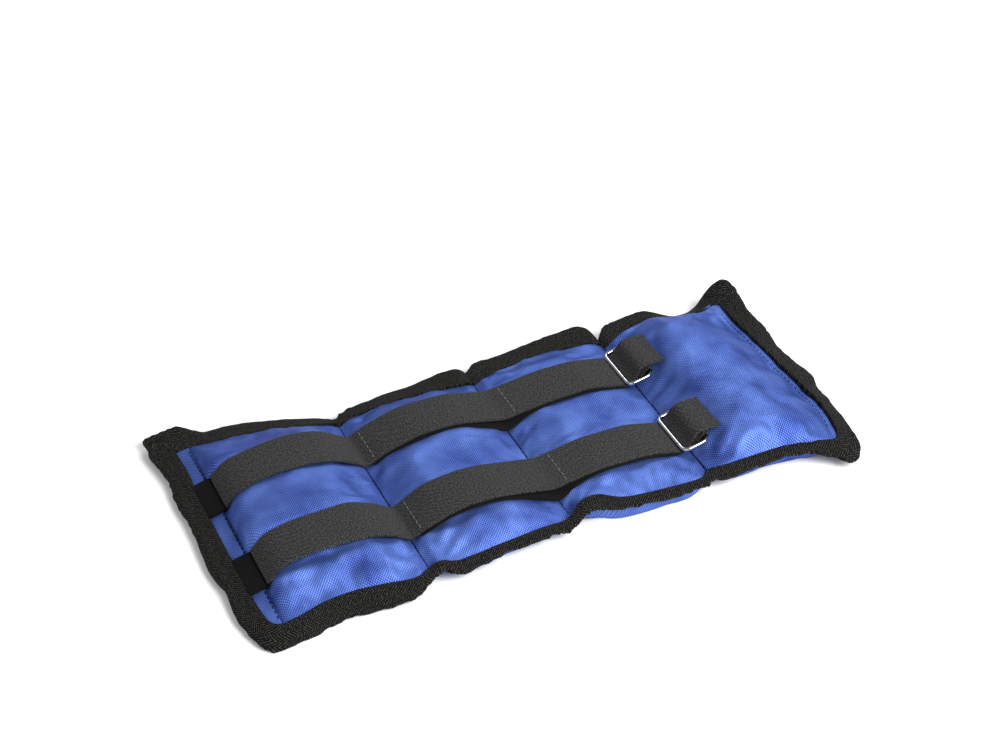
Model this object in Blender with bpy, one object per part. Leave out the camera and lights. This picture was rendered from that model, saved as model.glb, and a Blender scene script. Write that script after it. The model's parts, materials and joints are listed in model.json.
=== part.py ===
"""Ankle cuff weight, lying open: four sand-filled pockets in a row that fold along their stitched seams.

Metres, +Z up. X runs along the cuff, Y across it, and the cuff rests on Z = 0.
"""

import math

import bmesh
import bpy
import numpy as np
from mathutils import Vector

# Cuff outline
CUFF_WIDTH = 0.162
END_TAPER = 0.006
SEAM_NOTCH = 0.004
NOTCH_SHARPNESS = 6
END_STRIP = 0.009
POCKET_LENGTH = 0.080
END_POCKET_LENGTH = 0.082
CORNER_RADIUS = 0.008

# Pocket heights and how full each bulge is, lengthwise and across
SEAM_HEIGHT = 0.009
CROWN_RISE = 0.015
LAST_CROWN_RISE = 0.019
CROWN_LENGTHWISE = 2.4
END_CROWN_LENGTHWISE = 5.5
CROWN_ACROSS = 5.0
BELLY_PRESS = 1.15
BELLY_LENGTHWISE = 5.0
BELLY_ACROSS = 8.0
STRIP_DROOP = 0.22

# Cloth, binding tape, thread and the gap left between pieces
PANEL_THICKNESS = 0.0008
BINDING_WIDTH = 0.011
BINDING_THICKNESS = 0.0012
THREAD_RADIUS = 0.0005
CLEARANCE = 0.0003

# Sand bags: the share of the pocket that they fill, and the room under the cloth
BAG_SHARE_LENGTHWISE = 0.86
BAG_SHARE_ACROSS = 0.92
BAG_ROOM = 0.0026

# Straps and hook patches
STRAP_WIDTH = 0.026
STRAP_THICKNESS = 0.0016
STRAP_SPACING = 0.061
STRAP_DIP = 0.0025
STRAP_END_OVERLAP = 0.0015
PATCH_WIDTH = 0.027
PATCH_THICKNESS = 0.0012
PATCH_MARGIN = 0.0012

# Rings, their keepers and the strap tails
RING_WIRE_RADIUS = 0.0012
RING_PITCH = 0.014
RING_PLAY = 0.0006
RING_CORNER = 0.003
RING_BUTT_GAP = 0.0004
RING_SETBACK = 0.006
RING_BRIDGE = 0.006
KEEPER_THICKNESS = 0.0010
KEEPER_PLAY = 0.0002
KEEPER_INSET = 0.001
TAIL_ROOT = 0.001
TAIL_PAST_RING = 0.011
TAIL_CURL = math.radians(24)

# How far the seams fold, which sets the bevels beside them
WRAP_FOLD = math.radians(75)
BACK_FOLD = math.radians(20)

# Fineness of the meshes
STEPS_LENGTHWISE = 10
STEPS_ACROSS = 12
BAG_STEPS = 8
STRAP_STEPS = 22
STRAP_LINES = 5
CORNER_STEPS = 4
WIRE_SIDES = 10
ARC_STEPS = 8
FINE_STEPS = 160
SOLVER_STEPS = 40

# Places along the cuff, worked out from the sizes above
LENGTH = 2 * BINDING_WIDTH + END_STRIP + 3 * POCKET_LENGTH + END_POCKET_LENGTH
LEFT = -LENGTH / 2
RIGHT = LENGTH / 2
FIRST_SEAM = LEFT + BINDING_WIDTH + END_STRIP
SEAMS = [FIRST_SEAM + i * POCKET_LENGTH for i in range(4)]
POCKET_ENDS = SEAMS + [RIGHT - BINDING_WIDTH]
POCKETS = range(1, len(POCKET_ENDS))
LAYER = CLEARANCE / 2 + PANEL_THICKNESS
SEAM_GAP = THREAD_RADIUS + CLEARANCE
SLOT_END = BINDING_THICKNESS + CLEARANCE
SLOT_HALF = LAYER + CLEARANCE
STRAP_ROWS = {"rear": STRAP_SPACING / 2, "front": -STRAP_SPACING / 2}


def material(name, colour, roughness, metallic=0.0):
    """A plain Principled material."""
    made = bpy.data.materials.new(name)
    made.use_nodes = True
    shader = made.node_tree.nodes["Principled BSDF"]
    shader.inputs["Base Color"].default_value = (*colour, 1.0)
    shader.inputs["Roughness"].default_value = roughness
    shader.inputs["Metallic"].default_value = metallic
    return made


def pivot(name, place, parent=None):
    """An empty on a joint's axis; place is in the frame of the part."""
    empty = bpy.data.objects.new(name, None)
    bpy.context.scene.collection.objects.link(empty)
    empty["place"] = place
    empty.location = Vector(place)
    if parent:
        empty.parent = parent
        empty.location -= Vector(parent["place"])
    return empty


def add_object(name, bm, look, holder):
    """Turns a bmesh into an object whose origin is on its holder's pivot."""
    bmesh.ops.translate(bm, verts=bm.verts, vec=-Vector(holder["place"]))
    mesh = bpy.data.meshes.new(name)
    bm.to_mesh(mesh)
    bm.free()
    mesh.materials.append(look)
    made = bpy.data.objects.new(name, mesh)
    bpy.context.scene.collection.objects.link(made)
    made.parent = holder
    return made


def loft(name, sections, look, holder):
    """A closed solid through a row of cross-section loops, with a flat cap at each end."""
    bm = bmesh.new()
    rings = [[bm.verts.new(point) for point in section] for section in sections]
    for ring, following in zip(rings, rings[1:]):
        for i in range(len(ring)):
            bm.faces.new((ring[i - 1], ring[i], following[i], following[i - 1]))
    bm.faces.new(rings[0])
    bm.faces.new(rings[-1])
    bmesh.ops.recalc_face_normals(bm, faces=bm.faces)
    if bm.calc_volume(signed=True) < 0:
        bmesh.ops.reverse_faces(bm, faces=bm.faces)
    return add_object(name, bm, look, holder)


def shell(name, rows, outside_up, look, holder):
    """A sheet through a grid of points, thickened inwards by the cloth's thickness."""
    bm = bmesh.new()
    grid = [[bm.verts.new(point) for point in row] for row in rows]
    for row, following in zip(grid, grid[1:]):
        for j in range(len(row) - 1):
            bm.faces.new((row[j], following[j], following[j + 1], row[j + 1]))
    if not outside_up:
        bmesh.ops.reverse_faces(bm, faces=bm.faces)
    made = add_object(name, bm, look, holder)
    solid = made.modifiers.new("cloth_thickness", "SOLIDIFY")
    solid.thickness = PANEL_THICKNESS
    solid.offset = -1
    solid.use_even_offset = True
    return made


def tube(name, points, radius, across, look, holder):
    """A round wire along a flat path; across is the direction at right angles to the path's plane."""
    points = [Vector(point) for point in points]
    across = Vector(across).normalized()
    sections = []
    for i, point in enumerate(points):
        ahead = points[min(i + 1, len(points) - 1)] - points[max(i - 1, 0)]
        side = ahead.normalized().cross(across)
        turns = [2 * math.pi * j / WIRE_SIDES for j in range(WIRE_SIDES)]
        sections.append([point + radius * (math.cos(t) * side + math.sin(t) * across) for t in turns])
    return loft(name, sections, look, holder)


def ribbon(name, path, thickness, middle, width, look, holder):
    """A strip of webbing across Y whose middle layer follows a path of (x, z) points."""
    sections = []
    for i, (x, z) in enumerate(path):
        before, after = path[max(i - 1, 0)], path[min(i + 1, len(path) - 1)]
        run, rise = after[0] - before[0], after[1] - before[1]
        scale = thickness / 2 / math.hypot(run, rise)
        out_x, out_z = -rise * scale, run * scale
        near, far = middle - width / 2, middle + width / 2
        upper, lower = (x + out_x, z + out_z), (x - out_x, z - out_z)
        loop = [(upper, near), (upper, far), (lower, far), (lower, near)]
        sections.append([(corner[0], y, corner[1]) for corner, y in loop])
    return loft(name, sections, look, holder)


def spread(start, end, steps):
    """Stations between two places, closer together towards both ends."""
    turns = [math.pi * i / steps for i in range(steps + 1)]
    return [start + (end - start) * (1 - math.cos(turn)) / 2 for turn in turns]


def even(start, end, steps):
    """Evenly spaced stations between two places."""
    return [start + (end - start) * i / steps for i in range(steps + 1)]


def outer_half(x):
    """Half the cuff's width at x: widest at the left end and nipped in at each folding seam."""
    flare = max(0.0, (SEAMS[1] - x) / (SEAMS[1] - LEFT))
    reach = POCKET_LENGTH / 2
    nip = sum(max(0.0, 1 - abs(x - seam) / reach) ** NOTCH_SHARPNESS for seam in SEAMS[1:])
    return CUFF_WIDTH / 2 - END_TAPER * (1 - flare**2) - SEAM_NOTCH * nip


def inner_half(x):
    """Half the width that the binding leaves free at x."""
    return outer_half(x) - BINDING_WIDTH


def seam_level(x):
    """Height of the layer between front and back covers; the end strip droops towards the floor."""
    return SEAM_HEIGHT - STRIP_DROOP * max(0.0, SEAMS[0] - x)


def puff(pocket, x, y, lengthwise, across):
    """Share of a pocket's full bulge at a point: 0 along its seams and 1 in the middle."""
    start, end = POCKET_ENDS[pocket - 1] + SEAM_GAP, POCKET_ENDS[pocket] - SEAM_GAP
    along = min(1.0, abs(2 * x - start - end) / (end - start))
    aside = min(1.0, abs(y) / inner_half(x))
    return (1 - along**lengthwise) * (1 - aside**across)


def crown_lengthwise(pocket, x):
    """How square a crown is at x: the outer halves of both end pockets are fuller."""
    middle = (POCKET_ENDS[pocket - 1] + POCKET_ENDS[pocket]) / 2
    outer = (pocket == POCKETS[0] and x < middle) or (pocket == POCKETS[-1] and x > middle)
    return END_CROWN_LENGTHWISE if outer else CROWN_LENGTHWISE


def cover_top(pocket, x, y):
    """Height of a front cover's outside; the last pocket is the fullest."""
    rise = LAST_CROWN_RISE if pocket == POCKETS[-1] else CROWN_RISE
    return seam_level(x) + LAYER + rise * puff(pocket, x, y, crown_lengthwise(pocket, x), CROWN_ACROSS)


def belly_bottom(pocket, x, y):
    """Height of a back cover's outside, pressed flat where it meets the floor."""
    sag = BELLY_PRESS * SEAM_HEIGHT * puff(pocket, x, y, BELLY_LENGTHWISE, BELLY_ACROSS)
    return max(0.0, seam_level(x) - LAYER - sag)


def fold_setback(height):
    """How far a piece at this height keeps from a folding seam's line, so that the fold stays clear."""
    above = height - SEAM_HEIGHT
    return CLEARANCE + max(above * math.tan(BACK_FOLD / 2), -above * math.tan(WRAP_FOLD / 2))


def cover_stations(pocket):
    """Places along the cuff where a cover's grid has a row; end pockets reach into the binding."""
    rows = spread(POCKET_ENDS[pocket - 1] + SEAM_GAP, POCKET_ENDS[pocket] - SEAM_GAP, STEPS_LENGTHWISE)
    depths = [SLOT_END, CORNER_RADIUS, BINDING_WIDTH]
    if pocket == POCKETS[0]:
        rows = [LEFT + depth for depth in depths] + rows
    if pocket == POCKETS[-1]:
        rows = rows + [RIGHT - depth for depth in reversed(depths[:2])]
    return rows


def flange_half(x):
    """Half the width of the cloth at x, inside the binding's fold and its rounded corners."""
    corner = max(0.0, CORNER_RADIUS - (x - LEFT), CORNER_RADIUS - (RIGHT - x))
    return outer_half(x) - SLOT_END - corner


def cover_rows(pocket, height):
    """Grid of points of a cover, with a flat flange at both long edges for the binding to hold."""
    rows = []
    for x in cover_stations(pocket):
        across = [share * inner_half(x) for share in spread(-1.0, 1.0, STEPS_ACROSS)]
        across = [-flange_half(x)] + across + [flange_half(x)]
        rows.append([(x, y, height(pocket, x, y)) for y in across])
    return rows


def bag_sections(pocket):
    """Cross-section loops of the sand bag, a little inside both covers."""
    start, end = POCKET_ENDS[pocket - 1], POCKET_ENDS[pocket]
    inset = (end - start) * (1 - BAG_SHARE_LENGTHWISE) / 2
    sections = []
    for x in spread(start + inset, end - inset, BAG_STEPS):
        reach = BAG_SHARE_ACROSS * inner_half(x)
        across = spread(-reach, reach, BAG_STEPS)
        upper = [(x, y, cover_top(pocket, x, y) - BAG_ROOM) for y in across]
        lower = [(x, y, belly_bottom(pocket, x, y) + BAG_ROOM) for y in reversed(across)]
        sections.append(upper + lower)
    return sections


def binding_profile():
    """The folded tape's cross-section: (depth inwards from the outer edge, height off the middle)."""
    outside = SLOT_HALF + BINDING_THICKNESS
    soft = BINDING_THICKNESS / 2
    upper = [(BINDING_WIDTH, outside), (soft, outside), (0.0, outside - soft), (0.0, 0.0)]
    inside = [(BINDING_THICKNESS, 0.0), (BINDING_THICKNESS, SLOT_HALF), (BINDING_WIDTH, SLOT_HALF)]
    lower = [(depth, -height) for depth, height in reversed(upper[:-1])]
    back = [(depth, -height) for depth, height in reversed(inside[1:])]
    return upper + lower + back + inside


def binding_section(outer, inner, fold_side=0):
    """One loop of the tape between an outer and an inner edge point; at a fold its end is bevelled."""
    loop = []
    for depth, height in binding_profile():
        share = depth / BINDING_WIDTH
        x = outer[0] + (inner[0] - outer[0]) * share
        y = outer[1] + (inner[1] - outer[1]) * share
        z = seam_level(x) + height
        folded = x + fold_side * fold_setback(z)
        widened = outer_half(folded) - outer_half(x)
        loop.append((folded, y + widened * math.copysign(1.0, y), z))
    return loop


def side_sections(places, row, folds):
    """Tape along one long edge; row is +1 for the rear edge and -1 for the front edge."""
    sides = [folds[0]] + [0] * (len(places) - 2) + [folds[1]]
    edges = [((x, row * outer_half(x)), (x, row * inner_half(x))) for x in places]
    return [binding_section(*edge, side) for edge, side in zip(edges, sides)]


def corner_sections(end, inwards, row):
    """Tape round one corner, from the long edge to the short edge."""
    half = outer_half(end)
    sections = []
    for i in range(CORNER_STEPS + 1):
        turn = math.pi / 2 * i / CORNER_STEPS
        reach_x = CORNER_RADIUS * (1 - math.sin(turn))
        reach_y = CORNER_RADIUS * (1 - math.cos(turn))
        outer = (end + inwards * reach_x, row * (half - reach_y))
        step = 2 * (i / CORNER_STEPS) - 1
        inner_x = BINDING_WIDTH + max(0.0, -step) * BINDING_THICKNESS
        inner_y = BINDING_WIDTH + max(0.0, step) * BINDING_THICKNESS
        inner = (end + inwards * inner_x, row * (half - inner_y))
        sections.append(binding_section(outer, inner))
    return sections


def edge_stations(pocket):
    """Places along a pocket's long edges where the tape has a section, in step with the covers' rows."""
    start, end = POCKET_ENDS[pocket - 1], POCKET_ENDS[pocket]
    return [start] + spread(start + SEAM_GAP, end - SEAM_GAP, STEPS_LENGTHWISE)[1:-1] + [end]


def end_sections(pocket, end):
    """Tape round one end of the cuff: in along the rear edge, round both corners, out along the front."""
    inwards = 1 if end < 0 else -1
    last = end + inwards * (BINDING_WIDTH + 2 * BINDING_THICKNESS)
    places = [x for x in edge_stations(pocket)[::-inwards] if inwards * (x - last) > SEAM_GAP] + [last]
    rear = side_sections(places, 1, (-inwards, 0)) + corner_sections(end, inwards, 1)
    front = side_sections(places, -1, (-inwards, 0)) + corner_sections(end, inwards, -1)
    return rear + list(reversed(front))


def upper_hull(points):
    """The taut line over a row of (x, z) points."""
    hull = []
    for point in points:
        while len(hull) > 1 and below(hull[-2], hull[-1], point):
            hull.pop()
        hull.append(point)
    return hull


def below(first, middle, last):
    """True when the middle point lies on or under the line from the first to the last."""
    rise = (last[1] - first[1]) * (middle[0] - first[0])
    return (middle[1] - first[1]) * (last[0] - first[0]) <= rise


def strap_line(pocket, y, start, end):
    """Underside of a strap pulled over a pocket from one (x, z) end to the other, as x and z arrays."""
    inside = even(start[0], end[0], FINE_STEPS)[1:-1]
    cover = [(x, cover_top(pocket, x, y) + CLEARANCE) for x in inside]
    return np.array(upper_hull([start] + cover + [end])).T


def strap_sections(pocket, row, start, end, folds):
    """Cross-section loops of a strap's stretch over one pocket, set back from the seams where it folds."""
    lines = even(row - STRAP_WIDTH / 2, row + STRAP_WIDTH / 2, STRAP_LINES - 1)
    under = [strap_line(pocket, y, start, end) for y in lines]
    first = start[0] + folds[0] * fold_setback(start[1] + STRAP_THICKNESS)
    last = end[0] + folds[1] * fold_setback(end[1] + STRAP_THICKNESS)
    sections = []
    for place in spread(first, last, STRAP_STEPS):
        low = [float(np.interp(place, *line)) for line in under]
        upper = [(place, y, z + STRAP_THICKNESS) for y, z in zip(lines, low)]
        lower = [(place, y, z) for y, z in zip(lines, low)]
        sections.append(upper + lower[::-1])
    return sections


def cover_line(pocket, row):
    """Highest line of a front cover under a strap, as x and z arrays."""
    places = even(POCKET_ENDS[pocket - 1], POCKET_ENDS[pocket], FINE_STEPS)
    lines = even(row - STRAP_WIDTH / 2, row + STRAP_WIDTH / 2, STRAP_LINES - 1)
    tops = [max(cover_top(pocket, x, y) for y in lines) for x in places]
    return np.array(places), np.array(tops)


def rest_on(line, x, radius):
    """Lowest height at x of a bar of this radius that stays clear of a line of x and z arrays."""
    aside = np.clip(1 - ((line[0] - x) / radius) ** 2, 0.0, None)
    return float(np.max(np.where(aside > 0, line[1] + radius * np.sqrt(aside), -1.0)))


def tangent_angle(centre, radius, point):
    """Direction from a circle's centre to where a line from the point touches its upper left side."""
    run, rise = point[0] - centre[0], point[1] - centre[1]
    return math.atan2(rise, run) % (2 * math.pi) - math.acos(radius / math.hypot(run, rise))


def on_circle(centre, radius, angle):
    """A point on a circle in the XZ plane."""
    return (centre[0] + radius * math.cos(angle), centre[1] + radius * math.sin(angle))


def strap_3_end(row):
    """Underside of the strap where its stretch over pocket 3 stops, just past the ring's left bar."""
    x = SEAMS[3] - RING_SETBACK + TAIL_ROOT
    cover = float(np.interp(x, *cover_line(3, row)))
    return x, max(cover + CLEARANCE, SEAM_HEIGHT + RING_BRIDGE)


def tail_root(row):
    """Middle of the strap where its tail begins, beside the end of the stretch over pocket 3."""
    x, z = strap_3_end(row)
    return x + STRAP_THICKNESS / 2 + CLEARANCE, z + STRAP_THICKNESS / 2


def ring_bars(row):
    """Centres of the ring's left and right bars: one rests on the strap, the other on its keeper."""
    start = (SEAMS[2], SEAM_HEIGHT + STRAP_DIP)
    lines = even(row - STRAP_WIDTH / 2, row + STRAP_WIDTH / 2, STRAP_LINES - 1)
    places = np.linspace(SEAMS[3] - RING_PITCH, strap_3_end(row)[0], FINE_STEPS)
    tops = [np.interp(places, *strap_line(3, y, start, strap_3_end(row))) for y in lines]
    strap = (places, np.max(tops, axis=0) + STRAP_THICKNESS)
    left_x = SEAMS[3] - RING_SETBACK
    left = (left_x, rest_on(strap, left_x, RING_WIRE_RADIUS + CLEARANCE) + CLEARANCE)
    reach = RING_WIRE_RADIUS + KEEPER_PLAY + KEEPER_THICKNESS + CLEARANCE
    low, high = -math.pi / 4, math.pi / 2
    for _ in range(SOLVER_STEPS):
        tilt = (low + high) / 2
        right = on_circle(left, RING_PITCH, tilt)
        clear = right[1] >= rest_on(cover_line(4, row), right[0], reach)
        low, high = (low, tilt) if clear else (tilt, high)
    return left, on_circle(left, RING_PITCH, high)


def ring_points(row):
    """Centreline of the bent wire, from one side of its butt joint round to the other."""
    left, right = ring_bars(row)
    tilt = math.atan2(right[1] - left[1], right[0] - left[0])
    half = STRAP_WIDTH / 2 + RING_PLAY + RING_WIRE_RADIUS
    joint = half - 2 * RING_CORNER
    flat = [(0.0, RING_BUTT_GAP / 2 - joint)]
    corners = [(0, 1), (1, 1), (1, -1), (0, -1)]
    for i, (far, side) in enumerate(corners):
        middle_u = RING_CORNER + far * (RING_PITCH - 2 * RING_CORNER)
        middle_v = side * (half - RING_CORNER)
        for j in range(ARC_STEPS + 1):
            turn = math.pi - math.pi / 2 * (i + j / ARC_STEPS)
            flat.append((middle_u + RING_CORNER * math.cos(turn), middle_v + RING_CORNER * math.sin(turn)))
    flat.append((0.0, -RING_BUTT_GAP / 2 - joint))
    return [(left[0] + u * math.cos(tilt), row + v, left[1] + u * math.sin(tilt)) for u, v in flat], tilt


def keeper_path(row):
    """Folded webbing from the seam, up along the cover, round the ring's right bar and back."""
    centre = ring_bars(row)[1]
    places, tops = cover_line(4, row)
    lift = CLEARANCE + KEEPER_THICKNESS / 2
    slope = np.gradient(tops, places)
    bend = np.hypot(1.0, slope)
    leg_x, leg_z = places - lift * slope / bend, tops + lift / bend
    away = np.hypot(leg_x - centre[0], leg_z - centre[1])
    nearest = int(np.argmin(away))
    first = int(np.argmax(leg_x >= SEAMS[3] + 2 * SEAM_GAP))
    picks = np.linspace(first, nearest, ARC_STEPS).astype(int)
    lower = [(float(leg_x[i]), float(leg_z[i])) for i in picks]
    radius = RING_WIRE_RADIUS + KEEPER_PLAY + KEEPER_THICKNESS / 2
    from_angle = math.atan2(lower[-1][1] - centre[1], lower[-1][0] - centre[0])
    rise = KEEPER_THICKNESS + CLEARANCE
    back = (lower[0][0] - rise * slope[first] / bend[first], lower[0][1] + rise / bend[first])
    to_angle = tangent_angle(centre, radius, back)
    arc = [on_circle(centre, radius, angle) for angle in even(from_angle, to_angle, ARC_STEPS)]
    return lower[:-1] + arc + [back]


def tail_path(row):
    """Strap tail: from its root under the ring's left bar, over the right bar, to a curled tip."""
    root = tail_root(row)
    centre = ring_bars(row)[1]
    keeper = RING_WIRE_RADIUS + KEEPER_PLAY + KEEPER_THICKNESS
    radius = keeper + CLEARANCE + STRAP_THICKNESS / 2
    touch = on_circle(centre, radius, tangent_angle(centre, radius, root))
    heading = math.atan2(touch[1] - root[1], touch[0] - root[0])
    path = [root, touch]
    step = TAIL_PAST_RING / ARC_STEPS
    for i in range(ARC_STEPS):
        turn = heading + TAIL_CURL * (i + 1) / ARC_STEPS
        x, z = path[-1]
        path.append((x + step * math.cos(turn), z + step * math.sin(turn)))
    return path


def build_pockets(holders, looks):
    """Front cover, back cover, sand bag and left seam thread of each pocket."""
    for pocket in POCKETS:
        holder = holders[pocket]
        shell(f"front_cover_{pocket}", cover_rows(pocket, cover_top), True, looks["nylon"], holder)
        shell(f"back_cover_{pocket}", cover_rows(pocket, belly_bottom), False, looks["nylon"], holder)
        loft(f"sand_bag_{pocket}", bag_sections(pocket), looks["sand"], holder)
        seam = SEAMS[pocket - 1]
        on_top = LAYER + CLEARANCE + THREAD_RADIUS if pocket == POCKETS[0] else 0.0
        x = seam - 2 * SEAM_GAP if pocket == POCKETS[0] else seam
        ends = [(x, side * inner_half(seam), seam_level(x) + on_top) for side in (-1, 1)]
        tube(f"seam_thread_{pocket - 1}", ends, THREAD_RADIUS, (0, 0, 1), looks["thread"], holder)


def build_binding(holders, looks):
    """Binding tape: one piece round each end and one along each side of the middle pockets."""
    tape = looks["tape"]
    loft("binding_left_end", end_sections(POCKETS[0], LEFT), tape, holders[1])
    loft("binding_right_end", end_sections(POCKETS[-1], RIGHT), tape, holders[4])
    for pocket in (2, 3):
        for edge, row in (("rear", 1), ("front", -1)):
            sections = side_sections(edge_stations(pocket), row, (1, -1))
            loft(f"binding_{edge}_{pocket}", sections, tape, holders[pocket])


def build_straps(holders, looks):
    """Hook patches, the three stretches of each strap, rings, keepers and strap tails."""
    webbing = looks["webbing"]
    dip = SEAM_HEIGHT + STRAP_DIP
    patch_x = (LEFT + BINDING_WIDTH + PATCH_MARGIN, SEAMS[0] - 2 * SEAM_GAP - PATCH_MARGIN)
    for edge, row in STRAP_ROWS.items():
        patch = [(x, seam_level(x) + LAYER + CLEARANCE + PATCH_THICKNESS / 2) for x in patch_x]
        ribbon(f"{edge}_hook_patch", patch, PATCH_THICKNESS, row, PATCH_WIDTH, looks["hook"], holders[1])

        over_x = patch_x[1] - STRAP_END_OVERLAP
        over_z = seam_level(over_x) + LAYER + PATCH_THICKNESS + 2 * CLEARANCE
        free_end = pivot(f"{edge}_strap_end_hinge", (SEAMS[1], row, dip + STRAP_THICKNESS), holders[1])
        sections = strap_sections(1, row, (over_x, over_z), (SEAMS[1], dip), (0, -1))
        loft(f"{edge}_strap_end", sections, webbing, free_end)

        sections = strap_sections(2, row, (SEAMS[1], dip), (SEAMS[2], dip), (1, -1))
        loft(f"{edge}_strap_2", sections, webbing, holders[2])
        sections = strap_sections(3, row, (SEAMS[2], dip), strap_3_end(row), (1, 0))
        loft(f"{edge}_strap_3", sections, webbing, holders[3])

        right = ring_bars(row)[1]
        swing = pivot(f"{edge}_ring_hinge", (right[0], row, right[1]), holders[4])
        points, tilt = ring_points(row)
        across = (-math.sin(tilt), 0.0, math.cos(tilt))
        tube(f"{edge}_ring", points, RING_WIRE_RADIUS, across, looks["chrome"], swing)
        width = STRAP_WIDTH - 2 * KEEPER_INSET
        ribbon(f"{edge}_ring_keeper", keeper_path(row), KEEPER_THICKNESS, row, width, webbing, holders[4])

        root = tail_root(row)
        lift = pivot(f"{edge}_strap_tail_hinge", (root[0], row, root[1]), holders[4])
        ribbon(f"{edge}_strap_tail", tail_path(row), STRAP_THICKNESS, row, STRAP_WIDTH, webbing, lift)


def main():
    """Clears the scene and builds every piece under the pivot that carries it."""
    for old in list(bpy.data.objects):
        bpy.data.objects.remove(old, do_unlink=True)
    looks = {
        "nylon": material("blue_woven_nylon", (0.045, 0.085, 0.50), 0.45),
        "tape": material("black_binding_tape", (0.012, 0.011, 0.010), 0.85),
        "webbing": material("dark_webbing", (0.030, 0.030, 0.032), 0.80),
        "hook": material("near_black_hook_tape", (0.005, 0.005, 0.006), 0.70),
        "thread": material("black_thread", (0.010, 0.010, 0.012), 0.60),
        "chrome": material("chromed_wire", (0.80, 0.80, 0.82), 0.12, 1.0),
        "sand": material("bagged_sand", (0.30, 0.25, 0.18), 0.90),
    }
    middle = pivot("pocket_2_middle", ((SEAMS[1] + SEAMS[2]) / 2, 0.0, SEAM_HEIGHT))
    holders = {2: middle}
    holders[1] = pivot("pocket_1_hinge", (SEAMS[1], 0.0, SEAM_HEIGHT), middle)
    holders[3] = pivot("pocket_3_hinge", (SEAMS[2], 0.0, SEAM_HEIGHT), middle)
    holders[4] = pivot("pocket_4_hinge", (SEAMS[3], 0.0, SEAM_HEIGHT), holders[3])
    build_pockets(holders, looks)
    build_binding(holders, looks)
    build_straps(holders, looks)


main()
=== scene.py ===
"""Looks of an ankle cuff weight that lies open on a pale floor.

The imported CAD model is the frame. Every piece here is in metres in that frame: X along the cuff, Y across
it to the rear edge, Z up. The sidebar panel lists the settings and builds the pieces one group at a time.
"""

import json
import math

import bpy
import numpy as np
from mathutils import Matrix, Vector
from mathutils.bvhtree import BVHTree


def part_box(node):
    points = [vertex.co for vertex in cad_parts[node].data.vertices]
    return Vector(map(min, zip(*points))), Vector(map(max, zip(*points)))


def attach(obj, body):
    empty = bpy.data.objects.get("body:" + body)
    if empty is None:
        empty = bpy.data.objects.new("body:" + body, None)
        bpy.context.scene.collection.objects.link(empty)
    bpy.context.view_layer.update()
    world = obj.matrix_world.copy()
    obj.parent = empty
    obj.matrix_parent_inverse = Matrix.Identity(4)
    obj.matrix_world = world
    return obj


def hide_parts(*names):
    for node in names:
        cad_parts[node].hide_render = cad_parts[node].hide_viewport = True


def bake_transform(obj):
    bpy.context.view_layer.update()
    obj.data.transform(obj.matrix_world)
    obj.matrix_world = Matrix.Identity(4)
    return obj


bl_info = {
    "name": "Ankle cuff weight",
    "version": (1, 0, 0),
    "blender": (4, 5, 0),
    "location": "View3D > Sidebar > Cuff",
    "description": "Builds the cloth, tape, webbing and wire of an open ankle cuff weight",
    "category": "Object",
}

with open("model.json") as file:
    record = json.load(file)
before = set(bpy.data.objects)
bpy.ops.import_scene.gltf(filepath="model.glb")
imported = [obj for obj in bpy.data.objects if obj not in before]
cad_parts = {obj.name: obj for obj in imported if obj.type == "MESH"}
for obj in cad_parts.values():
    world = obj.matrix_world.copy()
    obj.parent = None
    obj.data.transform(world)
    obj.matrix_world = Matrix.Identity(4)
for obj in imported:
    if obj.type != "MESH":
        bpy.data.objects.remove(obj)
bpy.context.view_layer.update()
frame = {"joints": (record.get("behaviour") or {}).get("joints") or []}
MM = 0.001
ROWS = ("rear", "front")

# Lengths in metres that more than one piece goes by
SEAM_SHIFT = 3.6 * MM  # the first seam, right of its CAD thread
SEAM_RISE = 0.0005  # the cloth at a seam, above the foot of the CAD thread
RING_SAG = 3.4 * MM  # a ring's right bar, below its hinge
STRAP_DROP = 0.0052  # a strap's underside at its ring, below the tail's hinge
STRIP_HALF = 0.0009  # half the end strip's thickness
TAPE_OVERLAP = 0.002  # how far the tape reaches in over the cloth
KEEPER_THICK = 0.0010
UNDER_THICK = 0.0011  # second layer of webbing under a strap
PATCH_THICK = 0.0014
RING_CORNER = 0.0032  # bend radius of the ring's wire
CLOTH_WIDTH = 0.13  # across a pocket, for the mesh spacing
CLOTH_LOWEST = 0.0003  # the underside, above the floor
STRAP_BAND = 0.015  # half the band of cloth that a strap presses down
STRAP_START = 0.0030  # a strap's loose end, right of the first seam
STRAP_AT_SEAM = 0.0003  # a strap's underside above the cloth, at the seam where it is sewn down
STRAP_OVER_SEAM = 0.0045  # and at the next seam, which it bridges
GAP = 0.0002  # between wire, webbing and cloth, and half the ring's butt joint
BLEND_HALF = 0.006  # half a span about a seam, listed with a strap's bends, which are not applied
TAPE_FLAT, TAPE_ROLL = 0.009, 0.005  # width below which the tape rolls under, and over what range
TAPE_LOWEST = 0.0002  # the tape, above the floor
HEM_INSET = 0.0046  # the hem's stitches, inside the right tape
ABOVE, BELOW = 0.2, -0.1  # heights from which the cloth is felt for

# Sides of the webbing's section, a flat superellipse, and its powers across and through
WEB_SIDES, WEB_FLAT, WEB_THICK = 28, 0.16, 0.5

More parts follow.
